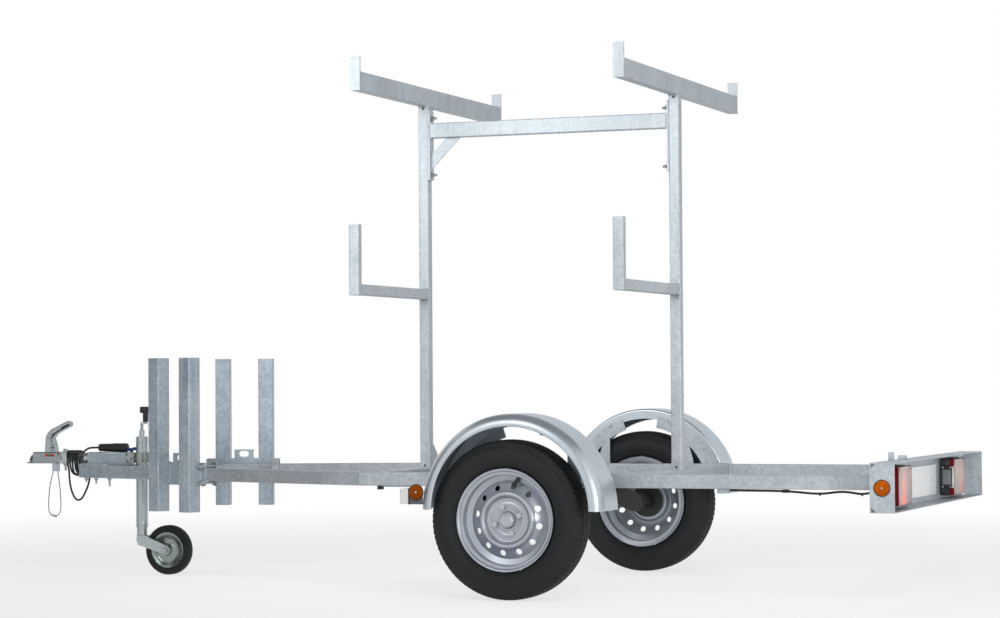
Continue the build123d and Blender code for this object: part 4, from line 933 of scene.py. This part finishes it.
class TRAILER_OT_fasteners(bpy.types.Operator):
    """Bolts, nuts and rivets of the frame, and the caps of its open tubes"""

    bl_idname = "trailer.fasteners"
    bl_label = "Fasteners"

    def execute(self, context):
        flats = context.scene.trailer_sizes.bolt_flats
        mesh = bmesh.new()
        for run in (0.135, -0.135):
            for z in (0.385, 0.449):
                for face, back in ((HOLDER_FACE, 1), (-0.058, -1)):
                    spot = HOLDER + ALONG * run + OUTWARD * face
                    for sign, place in both_sides([(spot.x, spot.y, z)]):
                        axis = Vector((OUTWARD.x, sign * OUTWARD.y, 0)) * back
                        bolt(mesh, place, axis, flats, 0.020)
        piece("holder_bolts", mesh, "bolt")

        mesh = bmesh.new()
        for x, direction in ((POSTS[0], 1), (POSTS[1], -1)):
            for z in (1.798, 1.577):
                dome(mesh, (x + direction * POST_HALF, POST_Y, z), (direction, 0, 0), 0.0085, 0.0035)
                bolt(mesh, (x - direction * 0.028, POST_Y, z), (-direction, 0, 0), flats * 0.9, 0.013)
        piece("rail_bolts", mesh, "bolt")

        mesh = bmesh.new()
        for x in POSTS:
            low, high = (x - 0.0165, 0.7025, ARM_BOTTOM - 0.0010), (x + 0.0165, 0.7255, ARM_BOTTOM + 0.0005)
            slab(mesh, low, high, 0.0004)
        piece("tube_caps", mesh, "plastic")

        mesh = bmesh.new()
        for x, y, shank in ((2.139, 0.048, 0.011), (2.083, 0.066, 0.016), (2.006, 0.092, 0.026)):
            bolt(mesh, (AXLE_X + x, y, FRAME_BOTTOM), (0, 0, -1), flats * 0.78, shank)
        piece("drawbar_bolts", mesh, "bolt")

        mesh = bmesh.new()
        for x in (0.075, 0.185):
            for y in (0.558, 0.592):
                for _, place in both_sides([(AXLE_X + x, y, FRAME_BOTTOM - 0.008)]):
                    bolt(mesh, place, (0, 0, -1), flats, 0.014)
        piece("axle_bolts", mesh, "bolt")

        mesh = bmesh.new()
        for angle in (28.6, 52.0, -19.5, -54.3):
            rim = Vector((sin(radians(angle)), 0, cos(radians(angle)))) * 0.306
            for sign, place in both_sides([(GUARD.x + rim.x, GUARD.y - 0.004, GUARD.z + rim.z)]):
                dome(mesh, place, (0, -sign, 0), 0.0062, 0.0030)
            for sign, place in both_sides([(GUARD.x + rim.x, GUARD.y + 0.0025, GUARD.z + rim.z)]):
                dome(mesh, place, (0, sign, 0), 0.0050, 0.0030)
        piece("guard_rivets", mesh, "bolt")
        return {"FINISHED"}


class TRAILER_OT_welds(bpy.types.Operator):
    """Weld beads where the frame's tubes and plates meet"""

    bl_idname = "trailer.welds"
    bl_label = "Welds"

    def execute(self, context):
        r = context.scene.trailer_sizes.weld_radius
        mesh = bmesh.new()
        for x in POSTS:
            near, far = POST_Y + POST_HALF, POST_Y - POST_HALF
            for z in (FRAME_TOP, T_BOTTOM):
                bead(mesh, (x - 0.016, near, z), (x + 0.016, near, z), r)
                for edge in (x - POST_HALF, x + POST_HALF):
                    bead(mesh, (edge, far + 0.004, z), (edge, near - 0.004, z), r)
            for edge in (x - 0.003, x + 0.003):
                bead(mesh, (edge, far, FRAME_TOP + 0.008), (edge, far, FRAME_TOP + 0.120), r * 0.8)
                bead(mesh, (edge, far - 0.008, FRAME_TOP), (edge, far - 0.120, FRAME_TOP), r * 0.8)
                bead(mesh, (edge, far, T_BOTTOM - 0.006), (edge, far, T_BOTTOM - 0.052), r * 0.8)
                bead(mesh, (edge, far - 0.006, T_BOTTOM), (edge, far - 0.052, T_BOTTOM), r * 0.8)
            for edge in (x - POST_HALF, x + POST_HALF):
                bead(mesh, (edge, near, ARM_BOTTOM + 0.004), (edge, near, ARM_TOP - 0.004), r)
            for z in (ARM_BOTTOM, ARM_TOP):
                bead(mesh, (x - 0.016, near, z), (x + 0.016, near, z), r)
            bead(mesh, (x - 0.016, 0.699, ARM_TOP), (x + 0.016, 0.699, ARM_TOP), r)
            for y in (0.704, -0.704):
                bead(mesh, (x - 0.018, y, T_TOP), (x + 0.018, y, T_TOP), r)
            for y in (FRAME_IN, -FRAME_IN):
                bead(mesh, (x - 0.022, y, FRAME_TOP), (x + 0.022, y, FRAME_TOP), r)
                for edge in (x - 0.025, x + 0.025):
                    bead(mesh, (edge, y, FRAME_BOTTOM + 0.004), (edge, y, FRAME_TOP - 0.004), r)
        for x in (POSTS[0] - 0.028, POSTS[1] + 0.028):
            for z in (1.720, 1.778):
                bead(mesh, (x, POST_Y - 0.016, z), (x, POST_Y + 0.016, z), r)
            for y in (POST_Y - POST_HALF, POST_Y + POST_HALF):
                bead(mesh, (x, y, 1.724), (x, y, 1.774), r)
        for run in (0.119, 0.059, -0.059, -0.119):
            foot = HOLDER + ALONG * run + OUTWARD * HOLDER_FACE
            for _, sign in SIDES:
                bead(mesh, (foot.x, sign * foot.y, 0.379), (foot.x, sign * foot.y, 0.460), r)
        for _, sign in SIDES:
            front = Vector((AXLE_X + 2.164, sign * 0.060, FRAME_TOP + 0.003))
            back = Vector((AXLE_X + 2.008, sign * 0.116, FRAME_TOP + 0.003))
            bead(mesh, front, back, r * 1.1)
            x, outer, inner = WEB_X + 0.003, sign * FRAME_HALF, sign * FRAME_IN
            for y in (outer, inner):
                bead(mesh, (x, y, FRAME_BOTTOM), (x, y, FRAME_TOP), r)
            bead(mesh, (x, inner, FRAME_TOP), (x, outer, FRAME_TOP), r)
            bead(mesh, (AXLE_X + 1.972, sign * 0.024, 0.447), (AXLE_X + 2.140, sign * 0.024, 0.447), r)
        piece("weld_beads", mesh, "galvanised")
        return {"FINISHED"}


def lamp_block(mesh, sign, depth, across, tall, bevel):
    """A block of a rear lamp: from and to behind the bar's web, from and to across, and half its height."""
    low = (WEB_X - depth[0], across[0], LAMP_Z - tall)
    high = (WEB_X - depth[1], across[1], LAMP_Z + tall)
    side_slab(mesh, sign, low, high, bevel)


class TRAILER_OT_lamps(bpy.types.Operator):
    """Rear lamps with fluted faces, plate lamps and screws, the bar's lugs and the front markers' gaskets"""

    bl_idname = "trailer.lamps"
    bl_label = "Lamps"

    def execute(self, context):
        low, high = LAMP_Y - 0.104, LAMP_Y + 0.104
        for side, sign in SIDES:
            mesh = bmesh.new()
            lamp_block(mesh, sign, (0.036, 0.0), (low, high), 0.069, 0.005)
            lamp_block(mesh, sign, (0.050, 0.004), (low - 0.006, low + 0.002), 0.043, 0.003)
            piece(f"lamp_case_{side}", mesh, "plastic", stands_for=(f"lamp_{side}",))

            mesh = bmesh.new()
            lamp_block(mesh, sign, (0.0545, 0.0355), (low + 0.001, high - 0.001), 0.068, 0.004)
            piece(f"lamp_lens_{side}", mesh, "red")

            mesh = bmesh.new()
            lamp_block(mesh, sign, (0.0562, 0.0540), (low + 0.004, high - 0.004), 0.065, 0.001)
            for k in range(10):
                y = low + 0.0145 + 0.0199 * k
                lamp_block(mesh, sign, (0.0570, 0.0555), (y - 0.0028, y + 0.0028), 0.061, 0.0006)
            piece(f"lamp_face_{side}", mesh, f"face_{side}")

            mesh = bmesh.new()
            lamp_block(mesh, sign, (0.045, 0.013), (low - 0.0085, low - 0.0055), 0.028, 0.001)
            piece(f"lamp_window_{side}", mesh, "window")
            mesh = bmesh.new()
            lamp_block(mesh, sign, (0.0535, 0.0495), (low - 0.0062, low + 0.002), 0.040, 0.001)
            piece(f"plate_lamp_{side}", mesh, "clear")

            mesh = bmesh.new()
            for z in (LAMP_Z - 0.036, LAMP_Z + 0.036):
                for x in (WEB_X - 0.043, WEB_X - 0.013):
                    dome(mesh, (x, sign * (low - 0.006), z), (0, -sign, 0), 0.0034, 0.0018)
            piece(f"lamp_screws_{side}", mesh, "bolt")
            mesh = bmesh.new()
            for y in (low + 0.012, high - 0.012):
                for z in (LAMP_Z - 0.057, LAMP_Z + 0.057):
                    dome(mesh, (WEB_X - 0.0560, sign * y, z), (-1, 0, 0), 0.0040, 0.0014)
            piece(f"lens_screws_{side}", mesh, "red")
        mesh = bmesh.new()
        for y in (-0.17, 0.17):
            dome(mesh, (WEB_X - 0.008, y, 0.401), (-1, 0, 0), 0.0065, 0.0028)
        piece("plate_screws", mesh, "bolt")
        mesh = bmesh.new()
        slab(mesh, (WEB_X - 0.015, 0.4558, 0.4905), (WEB_X + 0.0032, 0.4702, 0.5202), 0.0008)
        slab(mesh, (WEB_X - 0.024, 0.2968, 0.4905), (WEB_X + 0.0032, 0.3212, 0.5042), 0.0008)
        piece("bar_lugs", mesh, "galvanised")
        mesh = bmesh.new()
        for _, sign in SIDES:
            low, high = (MARKER_X - 0.0050, 0.7830, 0.3370), (MARKER_X + 0.0015, 0.8492, 0.3952)
            side_slab(mesh, sign, low, high, 0.0012)
        piece("marker_gaskets", mesh, "plastic")
        return {"FINISHED"}


# Turned profiles of a reflector: (distance along the axis, radius)
REFLECTOR_BASE = ((0, 0.0288), (0.0030, 0.0290), (0.0036, 0.0284), (0.0036, 0.0262), (0.0020, 0.0258))
REFLECTOR_LENS = (
    (0.0010, 0.0262), (0.0040, 0.0260), (0.0056, 0.0245), (0.0066, 0.0180), (0.0070, 0.0090),
    (0.0070, 0.0048), (0.0040, 0.0046),
)
REFLECTOR_SCREW = ((0.0020, 0.0050), (0.0058, 0.0048), (0.0066, 0.0036), (0.0068, 0))


class TRAILER_OT_reflectors(bpy.types.Operator):
    """Round side reflectors: black base, faceted amber dome and a screw"""

    bl_idname = "trailer.reflectors"
    bl_label = "Side reflectors"

    def execute(self, context):
        for end, spot in REFLECTORS.items():
            base, lens, screws = bmesh.new(), bmesh.new(), bmesh.new()
            for sign, place in both_sides([spot]):
                lathe(base, place, (0, sign, 0), REFLECTOR_BASE, 40)
                lathe(lens, place, (0, sign, 0), REFLECTOR_LENS, 40)
                lathe(screws, place, (0, sign, 0), REFLECTOR_SCREW, 16)
            stood = f"reflectors_{end}"
            piece(f"reflector_base_{end}", base, "plastic")
            piece(f"reflector_lens_{end}", lens, f"amber_{end}", stands_for=(stood,))
            piece(f"reflector_screws_{end}", screws, "bolt")
        return {"FINISHED"}


# Middle line of the coupling lever from foot to grip, from the head's rear top corner: (X, Z, half width)
LEVER_LINE = (
    (0.0375, -0.0030, 0.0270),
    (0.0400, 0.0300, 0.0230),
    (0.0425, 0.0580, 0.0170),
    (0.0290, 0.0780, 0.0155),
    (0.0055, 0.0920, 0.0130),
    (-0.0440, 0.1150, 0.0125),
)
LEVER_HALF = 0.0140
SLEEVE_HALF = 0.0235
SLEEVE_BOTTOM = 0.4470
SLEEVE_TOP = 0.4958


def lever_outline():
    """Edge of the lever: half a width to each side of its smoothed middle line, with a round end."""
    knots = [Vector(p) for p in LEVER_LINE]
    line = []
    for k in range(len(knots) - 1):
        before, start, end, after = (knots[min(max(j, 0), len(knots) - 1)] for j in range(k - 1, k + 3))
        handles = (start + (end - before) / 6, end - (after - start) / 6)
        line += interpolate_bezier(start, *handles, end, 7)[:-1]
    line.append(knots[-1])
    front, rear = [], []
    for k, (x, z, half) in enumerate(line):
        step = line[min(k + 1, len(line) - 1)] - line[max(k - 1, 0)]
        side = Vector((step.y, -step.x)).normalized() * half
        front.append(Vector((x, z)) + side)
        rear.append(Vector((x, z)) - side)
    tip = Vector(line[-1][:2])
    arm = front[-1] - tip
    ahead = Vector((-arm.y, arm.x))
    end = [tip + arm * cos(pi * k / 8) + ahead * sin(pi * k / 8) for k in range(1, 8)]
    return front + end + rear[::-1]


def lever_shell():
    """Pressed lever of the coupling: a plate with rounded edges and a sunk field on each side."""
    mesh = bmesh.new()
    edge = lever_outline()
    walls = []
    for y in (LEVER_HALF, -LEVER_HALF):
        walls.append([mesh.verts.new((HEAD_REAR + x, y, HEAD_TOP + z)) for x, z in edge])
        mesh.faces.new(walls[-1])
    skin(mesh, walls)
    bmesh.ops.recalc_face_normals(mesh, faces=mesh.faces)
    rims = [e for e in mesh.edges if len({v.co.y > 0 for v in e.verts}) == 1]
    bmesh.ops.bevel(mesh, geom=rims, offset=0.0022, segments=3, profile=0.5, affect="EDGES")
    fields = [f for f in mesh.faces if len(f.verts) > 8]
    bmesh.ops.inset_individual(mesh, faces=fields, thickness=0.0026, depth=-0.0012)
    return mesh


def plug_profile():
    """Turned profile of the plug: a ribbed sleeve, a grooved body and a round end."""
    profile = [(0, 0), (0, 0.0110), (0.0010, 0.0130), (0.0040, 0.0155)]
    for k in range(8):
        at, r = 0.009 + 0.0062 * k, 0.0156 + 0.00015 * k
        profile += [(at, r), (at + 0.0036, r), (at + 0.0042, r - 0.0011), (at + 0.0058, r - 0.0011)]
    r = 0.0180
    profile += [(0.0595, 0.0167), (0.0690, r)]
    for k in range(7):
        at = 0.076 + 0.0066 * k
        profile += [(at, r), (at + 0.0005, r - 0.0010), (at + 0.0016, r - 0.0010), (at + 0.0021, r)]
    return profile + [(0.1280, r), (0.1305, 0.0160), (0.1310, 0.0150), (0.1310, 0)]


class TRAILER_OT_coupling(bpy.types.Operator):
    """Coupling details: lever, coupled-state window, neck sleeve, bolts and pins, and the parked plug"""

    bl_idname = "trailer.coupling"
    bl_label = "Coupling and plug"

    def execute(self, context):
        red, green, pins = bmesh.new(), bmesh.new(), bmesh.new()
        window = 0.0052
        for _, sign in SIDES:
            flare = Matrix.Rotation(sign * HEAD_FLARE, 4, "Z")
            turn = Matrix.Translation((HEAD_REAR, sign * NECK_HALF, 0.4810)) @ flare
            for mesh, rear, front in ((red, 0.0140, 0.0275), (red, 0.0415, 0.0550), (green, 0.0275, 0.0415)):
                side_slab(mesh, sign, (rear, -0.0010, -window), (front, 0.0022, window), 0.0008, turn)
            dome(pins, turn @ Vector((0.068, 0, -0.008)), flare @ Vector((0, sign, 0)), 0.0060, 0.0030)
            dome(pins, (HEAD_REAR + 0.036, sign * LEVER_HALF, HEAD_TOP + 0.014), (0, sign, 0), 0.0065, 0.0035)
            dome(pins, (HEAD_REAR + 0.038, sign * LEVER_HALF, HEAD_TOP + 0.052), (0, sign, 0), 0.0050, 0.0030)
            bolt(pins, (HEAD_REAR - 0.013, sign * SLEEVE_HALF, BOX_Z), (0, sign, 0), 0.013)
        for up, z, shank in ((1, SLEEVE_TOP, 0.0), (-1, SLEEVE_BOTTOM, 0.020)):
            bolt(pins, (HEAD_REAR - 0.027, 0, z), (0, 0, up), 0.016, shank)
        piece("lever_shell", lever_shell(), "chrome", stands_for=("coupling_lever",))
        piece("indicator_red", red, "signal_red")
        piece("indicator_green", green, "signal_green")
        piece("coupling_pins", pins, "bolt")

        mesh = bmesh.new()
        low = (HEAD_REAR - 0.046, -SLEEVE_HALF, SLEEVE_BOTTOM)
        high = (HEAD_REAR + 0.001, SLEEVE_HALF, SLEEVE_TOP)
        slab(mesh, low, high, 0.0040)
        piece("neck_sleeve", mesh, "plating")

        mesh = bmesh.new()
        lathe(mesh, (PLUG_FRONT, 0, PLUG_Z), (-1, 0, 0), plug_profile(), 32)
        piece("plug_body", mesh, "plastic", stands_for=("trailer_plug",))
        mesh = bmesh.new()
        for _, sign in SIDES:
            low, high = (AXLE_X + 1.999, 0.0238, 0.4860), (AXLE_X + 2.097, 0.0262, 0.4957)
            side_slab(mesh, sign, low, high, 0.0009)
        piece("plug_rest", mesh, "plating")
        return {"FINISHED"}


# Turned profile of a cable tie: (distance along the axis, radius)
CABLE_TIE = ((-0.003, 0.0042), (-0.002, 0.0060), (0.002, 0.0060), (0.003, 0.0042))


class TRAILER_OT_wiring(bpy.types.Operator):
    """Clips that hold the lighting cable under the left side beam"""

    bl_idname = "trailer.wiring"
    bl_label = "Cable clips"

    def execute(self, context):
        y = FRAME_HALF - 0.025
        mesh = bmesh.new()
        slab(mesh, (AXLE_X + 0.580, y - 0.014, 0.3780), (AXLE_X + 0.596, y + 0.014, 0.3925), 0.0015)
        for x in (-1.076, -1.225):
            lathe(mesh, (AXLE_X + x, y, 0.3765), (1, 0, 0), CABLE_TIE, 16)
        piece("cable_ties", mesh, "plastic")
        mesh = bmesh.new()
        slab(mesh, (AXLE_X + 0.451, y - 0.008, 0.3880), (AXLE_X + 0.581, y + 0.008, 0.3922), 0.0010)
        slab(mesh, (AXLE_X - 0.752, y - 0.010, 0.3785), (AXLE_X - 0.711, y + 0.012, 0.3922), 0.0012)
        piece("cable_clips", mesh, "galvanised")
        return {"FINISHED"}


# Turned profiles of the jockey tube's collars: (distance along the axis, radius)
LOWER_COLLAR = ((0, 0.0240), (0, 0.0252), (0.008, 0.0252), (0.009, 0.0240))
UPPER_COLLAR = ((0, 0.0240), (0.001, 0.0250), (0.016, 0.0250), (0.017, 0.0240))
# One face of the dished jockey rim, from the hub outward: (distance from the middle, radius)
JOCKEY_DISH = (
    (0.0235, 0.0085), (0.0240, 0.0090), (0.0240, 0.0165), (0.0225, 0.0180), (0.0120, 0.0190),
    (0.0070, 0.0240), (0.0040, 0.0330), (0.0045, 0.0450), (0.0080, 0.0540), (0.0130, 0.0595),
    (0.0160, 0.0640), (0.0178, 0.0690), (0.0186, 0.0712), (0.0178, 0.0722), (0.0150, 0.0705),
)


class TRAILER_OT_jockey(bpy.types.Operator):
    """Jockey wheel details: tube collars, crank thread, clamp bolts and grip, dished rim and axle nuts"""

    bl_idname = "trailer.jockey"
    bl_label = "Jockey wheel"

    def execute(self, context):
        mesh = bmesh.new()
        lathe(mesh, (JOCKEY_X, 0, 0.190), (0, 0, 1), LOWER_COLLAR, 36)
        lathe(mesh, (JOCKEY_X, 0, 0.534), (0, 0, 1), UPPER_COLLAR, 36)
        thread = [(0.0014 * k, 0.0066 if k % 2 else 0.0060) for k in range(17)]
        lathe(mesh, (JOCKEY_X, 0, 0.586), (0, 0, 1), (*thread, (0.024, 0.0060)), 20)
        piece("jockey_collars", mesh, "plating")

        mesh = bmesh.new()
        for _, sign in SIDES:
            bolt(mesh, (JOCKEY_X + 0.047, sign * 0.018, 0.473), (0, sign, 0), 0.017)
        piece("clamp_bolts", mesh, "bolt")
        mesh = bmesh.new()
        tilt = Matrix.Translation((JOCKEY_X + 0.045, 0, 0.5065)) @ Matrix.Rotation(radians(14), 4, "Y")
        slab(mesh, (-0.0165, -0.0085, -0.0055), (0.0165, 0.0085, 0.0055), 0.0022, tilt)
        piece("clamp_grip", mesh, "blue")

        mesh = bmesh.new()
        for _, sign in SIDES:
            lathe(mesh, JOCKEY_AXLE, (0, sign, 0), JOCKEY_DISH, 56)
        for half, radius in (JOCKEY_DISH[-1], JOCKEY_DISH[0]):
            lathe(mesh, JOCKEY_AXLE, (0, 1, 0), ((-half, radius), (half, radius)), 56)
        piece("jockey_disc", mesh, "green_zinc", "jockey_wheel", ("jockey_rim",))

        mesh = bmesh.new()
        for _, sign in SIDES:
            bolt(mesh, JOCKEY_AXLE + Vector((0, sign * 0.033, 0)), (0, sign, 0), 0.019)
        piece("jockey_nuts", mesh, "bolt", "jockey_swivel")
        return {"FINISHED"}


# Cards that only reflections see: name, size, place, facing, shade
CARDS = (
    ("ceiling_card", 9.0, (0, 0, 5.0), (0, 0, -1), (0.02, 0.022, 0.024)),
    ("front_card", 5.0, (6.5, 2.6, 2.6), (-1, -0.3, 0), (0.02, 0.022, 0.024)),
    ("back_card", 10.0, (0, -8.0, 6.9), (0, 1, 0), (0.80, 0.84, 0.88)),
    ("near_card", 11.0, (-1.0, 8.5, 7.6), (0, -0.85, -0.5), (0.12, 0.18, 0.24)),
)
# Lamps of the studio: name, place, aim, size, power, spread, seen in the metal
STUDIO_LAMPS = (
    ("key", (-3.0, 4.0, 3.2), (-0.3, 0.0, 1.6), 2.2, 48.0, 100, False),
    ("upper", (0.5, 2.8, 2.4), (0.3, 0.0, 1.60), 1.8, 12.4, 80, True),
    ("side", (-1.0, 5.0, 2.6), (-0.5, 0.0, 0.6), 2.4, 15.0, 180, True),
    ("rear_fill", (-4.2, 2.6, 0.7), (-1.9, -0.3, 0.42), 1.2, 13.0, 70, True),
    ("top", (0.0, -1.5, 6.5), (0.0, 0.0, 0.4), 4.0, 70.0, 180, True),
)
# Camera of the photograph: its place, its turn and its focal length as a share of the picture's width
CAMERA_PLACE = (AXLE_X - 3.4026, 9.5315, 0.7704)
CAMERA_YAW, CAMERA_PITCH, CAMERA_ROLL = radians(21.415), radians(1.5862), radians(-0.3551)
FOCAL_SHARE = 2.6483
SENSOR = 36.0


def panel(name, size, place, facing, material):
    """A square plane of the stage."""
    half = size / 2
    corners = [(-half, -half, 0), (half, -half, 0), (half, half, 0), (-half, half, 0)]
    mesh = bpy.data.meshes.new(name)
    mesh.from_pydata(corners, [], [(0, 1, 2, 3)])
    mesh.materials.append(material)
    made = bpy.data.objects.new(name, mesh)
    made.location = place
    made.rotation_euler = Vector(facing).to_track_quat("Z", "Y").to_euler()
    bpy.context.scene.collection.objects.link(made)
    return made


def lay_floor():
    """Pale floor that keeps the shadow and fades into the background."""
    f = Finish("floor_white")
    away = f.node("ShaderNodeVectorMath", {"operation": "LENGTH"}, {0: f.place()}, "Value")
    matt = f.node("ShaderNodeBsdfDiffuse", None, {"Color": (0.90, 0.90, 0.90)})
    glow = f.node("ShaderNodeEmission", None, {"Color": (1, 1, 1), "Strength": 1.0})
    share = f.background_rays() * (0.70 + f.rise(away, 2.4, 6.0) * 0.30)
    mixed = f.node("ShaderNodeMixShader", None, {0: share, 1: matt, 2: glow})
    f.node("ShaderNodeOutputMaterial", None, {"Surface": mixed})
    panel("floor", 120.0, (0, 0, -0.001), (0, 0, 1), f.material)


def hang_cards():
    """Cards for the metal to reflect."""
    for name, size, place, facing, shade in CARDS:
        f = Finish(name)
        dull = f.node("ShaderNodeEmission", None, {"Color": shade, "Strength": 1.0})
        f.node("ShaderNodeOutputMaterial", None, {"Surface": dull})
        card = panel(name, size, place, facing, f.material)
        card.visible_camera = False
        card.visible_diffuse = False
        card.visible_shadow = False


def set_lights(scene):
    """White surroundings and soft area lamps."""
    scene.world = bpy.data.worlds.new("studio")
    scene.world.use_nodes = True
    f = Graph(scene.world.node_tree)
    strength = 0.23 + f.background_rays() * 0.77
    sky = f.node("ShaderNodeBackground", None, {"Color": (1, 1, 1), "Strength": strength})
    f.node("ShaderNodeOutputWorld", None, {"Surface": sky})
    for name, place, aim, size, power, spread, seen in STUDIO_LAMPS:
        light = bpy.data.lights.new(name, "AREA")
        light.energy = power
        light.size = size
        light.spread = radians(spread)
        made = bpy.data.objects.new(name, light)
        made.location = place
        made.rotation_euler = (Vector(aim) - Vector(place)).to_track_quat("-Z", "Y").to_euler()
        made.visible_camera = False
        made.visible_glossy = seen
        scene.collection.objects.link(made)


def set_camera(scene):
    """Camera that sees the trailer as the photograph does."""
    right = Vector((-cos(CAMERA_YAW), -sin(CAMERA_YAW), 0))
    level = Vector((sin(CAMERA_YAW), -cos(CAMERA_YAW), 0))
    ahead = level * cos(CAMERA_PITCH) + Vector((0, 0, sin(CAMERA_PITCH)))
    up = Vector((0, 0, cos(CAMERA_PITCH))) - level * sin(CAMERA_PITCH)
    across = right * cos(CAMERA_ROLL) + up * sin(CAMERA_ROLL)
    tall = up * cos(CAMERA_ROLL) - right * sin(CAMERA_ROLL)
    data = bpy.data.cameras.new("camera")
    data.sensor_width = SENSOR
    data.lens = FOCAL_SHARE * SENSOR
    data.clip_end = 200.0
    camera = bpy.data.objects.new("camera", data)
    turn = Matrix((across, tall, -ahead)).transposed().to_4x4()
    camera.matrix_world = Matrix.Translation(CAMERA_PLACE) @ turn
    scene.collection.objects.link(camera)
    scene.camera = camera


class TRAILER_OT_stage(bpy.types.Operator):
    """Pale floor that keeps the shadow, cards for the metal to reflect, soft light and the camera"""

    bl_idname = "trailer.stage"
    bl_label = "Stage"

    def execute(self, context):
        context.scene.view_settings.view_transform = "Standard"
        lay_floor()
        hang_cards()
        set_lights(context.scene)
        set_camera(context.scene)
        return {"FINISHED"}


class TRAILER_PT_panel(bpy.types.Panel):
    """Sizes, colours and pieces of the trailer"""

    bl_label = "Scaffold trailer"
    bl_idname = "TRAILER_PT_panel"
    bl_space_type = "VIEW_3D"
    bl_region_type = "UI"
    bl_category = "Trailer"

    def draw(self, context):
        for group in (context.scene.trailer_sizes, context.scene.trailer_colours):
            for name in type(group).__annotations__:
                self.layout.prop(group, name)
        for operator in OPERATORS:
            self.layout.operator(operator.bl_idname)


OPERATORS = (
    TRAILER_OT_stage,
    TRAILER_OT_finishes,
    TRAILER_OT_tyres,
    TRAILER_OT_rims,
    TRAILER_OT_wheel_trim,
    TRAILER_OT_fasteners,
    TRAILER_OT_welds,
    TRAILER_OT_lamps,
    TRAILER_OT_reflectors,
    TRAILER_OT_coupling,
    TRAILER_OT_cords,
    TRAILER_OT_wiring,
    TRAILER_OT_jockey,
)
CLASSES = (TrailerSizes, TrailerColours, *OPERATORS, TRAILER_PT_panel)


def register():
    for made in CLASSES:
        bpy.utils.register_class(made)
    bpy.types.Scene.trailer_sizes = bpy.props.PointerProperty(type=TrailerSizes)
    bpy.types.Scene.trailer_colours = bpy.props.PointerProperty(type=TrailerColours)


def unregister():
    del bpy.types.Scene.trailer_colours
    del bpy.types.Scene.trailer_sizes
    for made in reversed(CLASSES):
        bpy.utils.unregister_class(made)


def main():
    register()
    for operator in OPERATORS:
        group, name = operator.bl_idname.split(".")
        getattr(getattr(bpy.ops, group), name)()


if __name__ == "__main__":
    main()
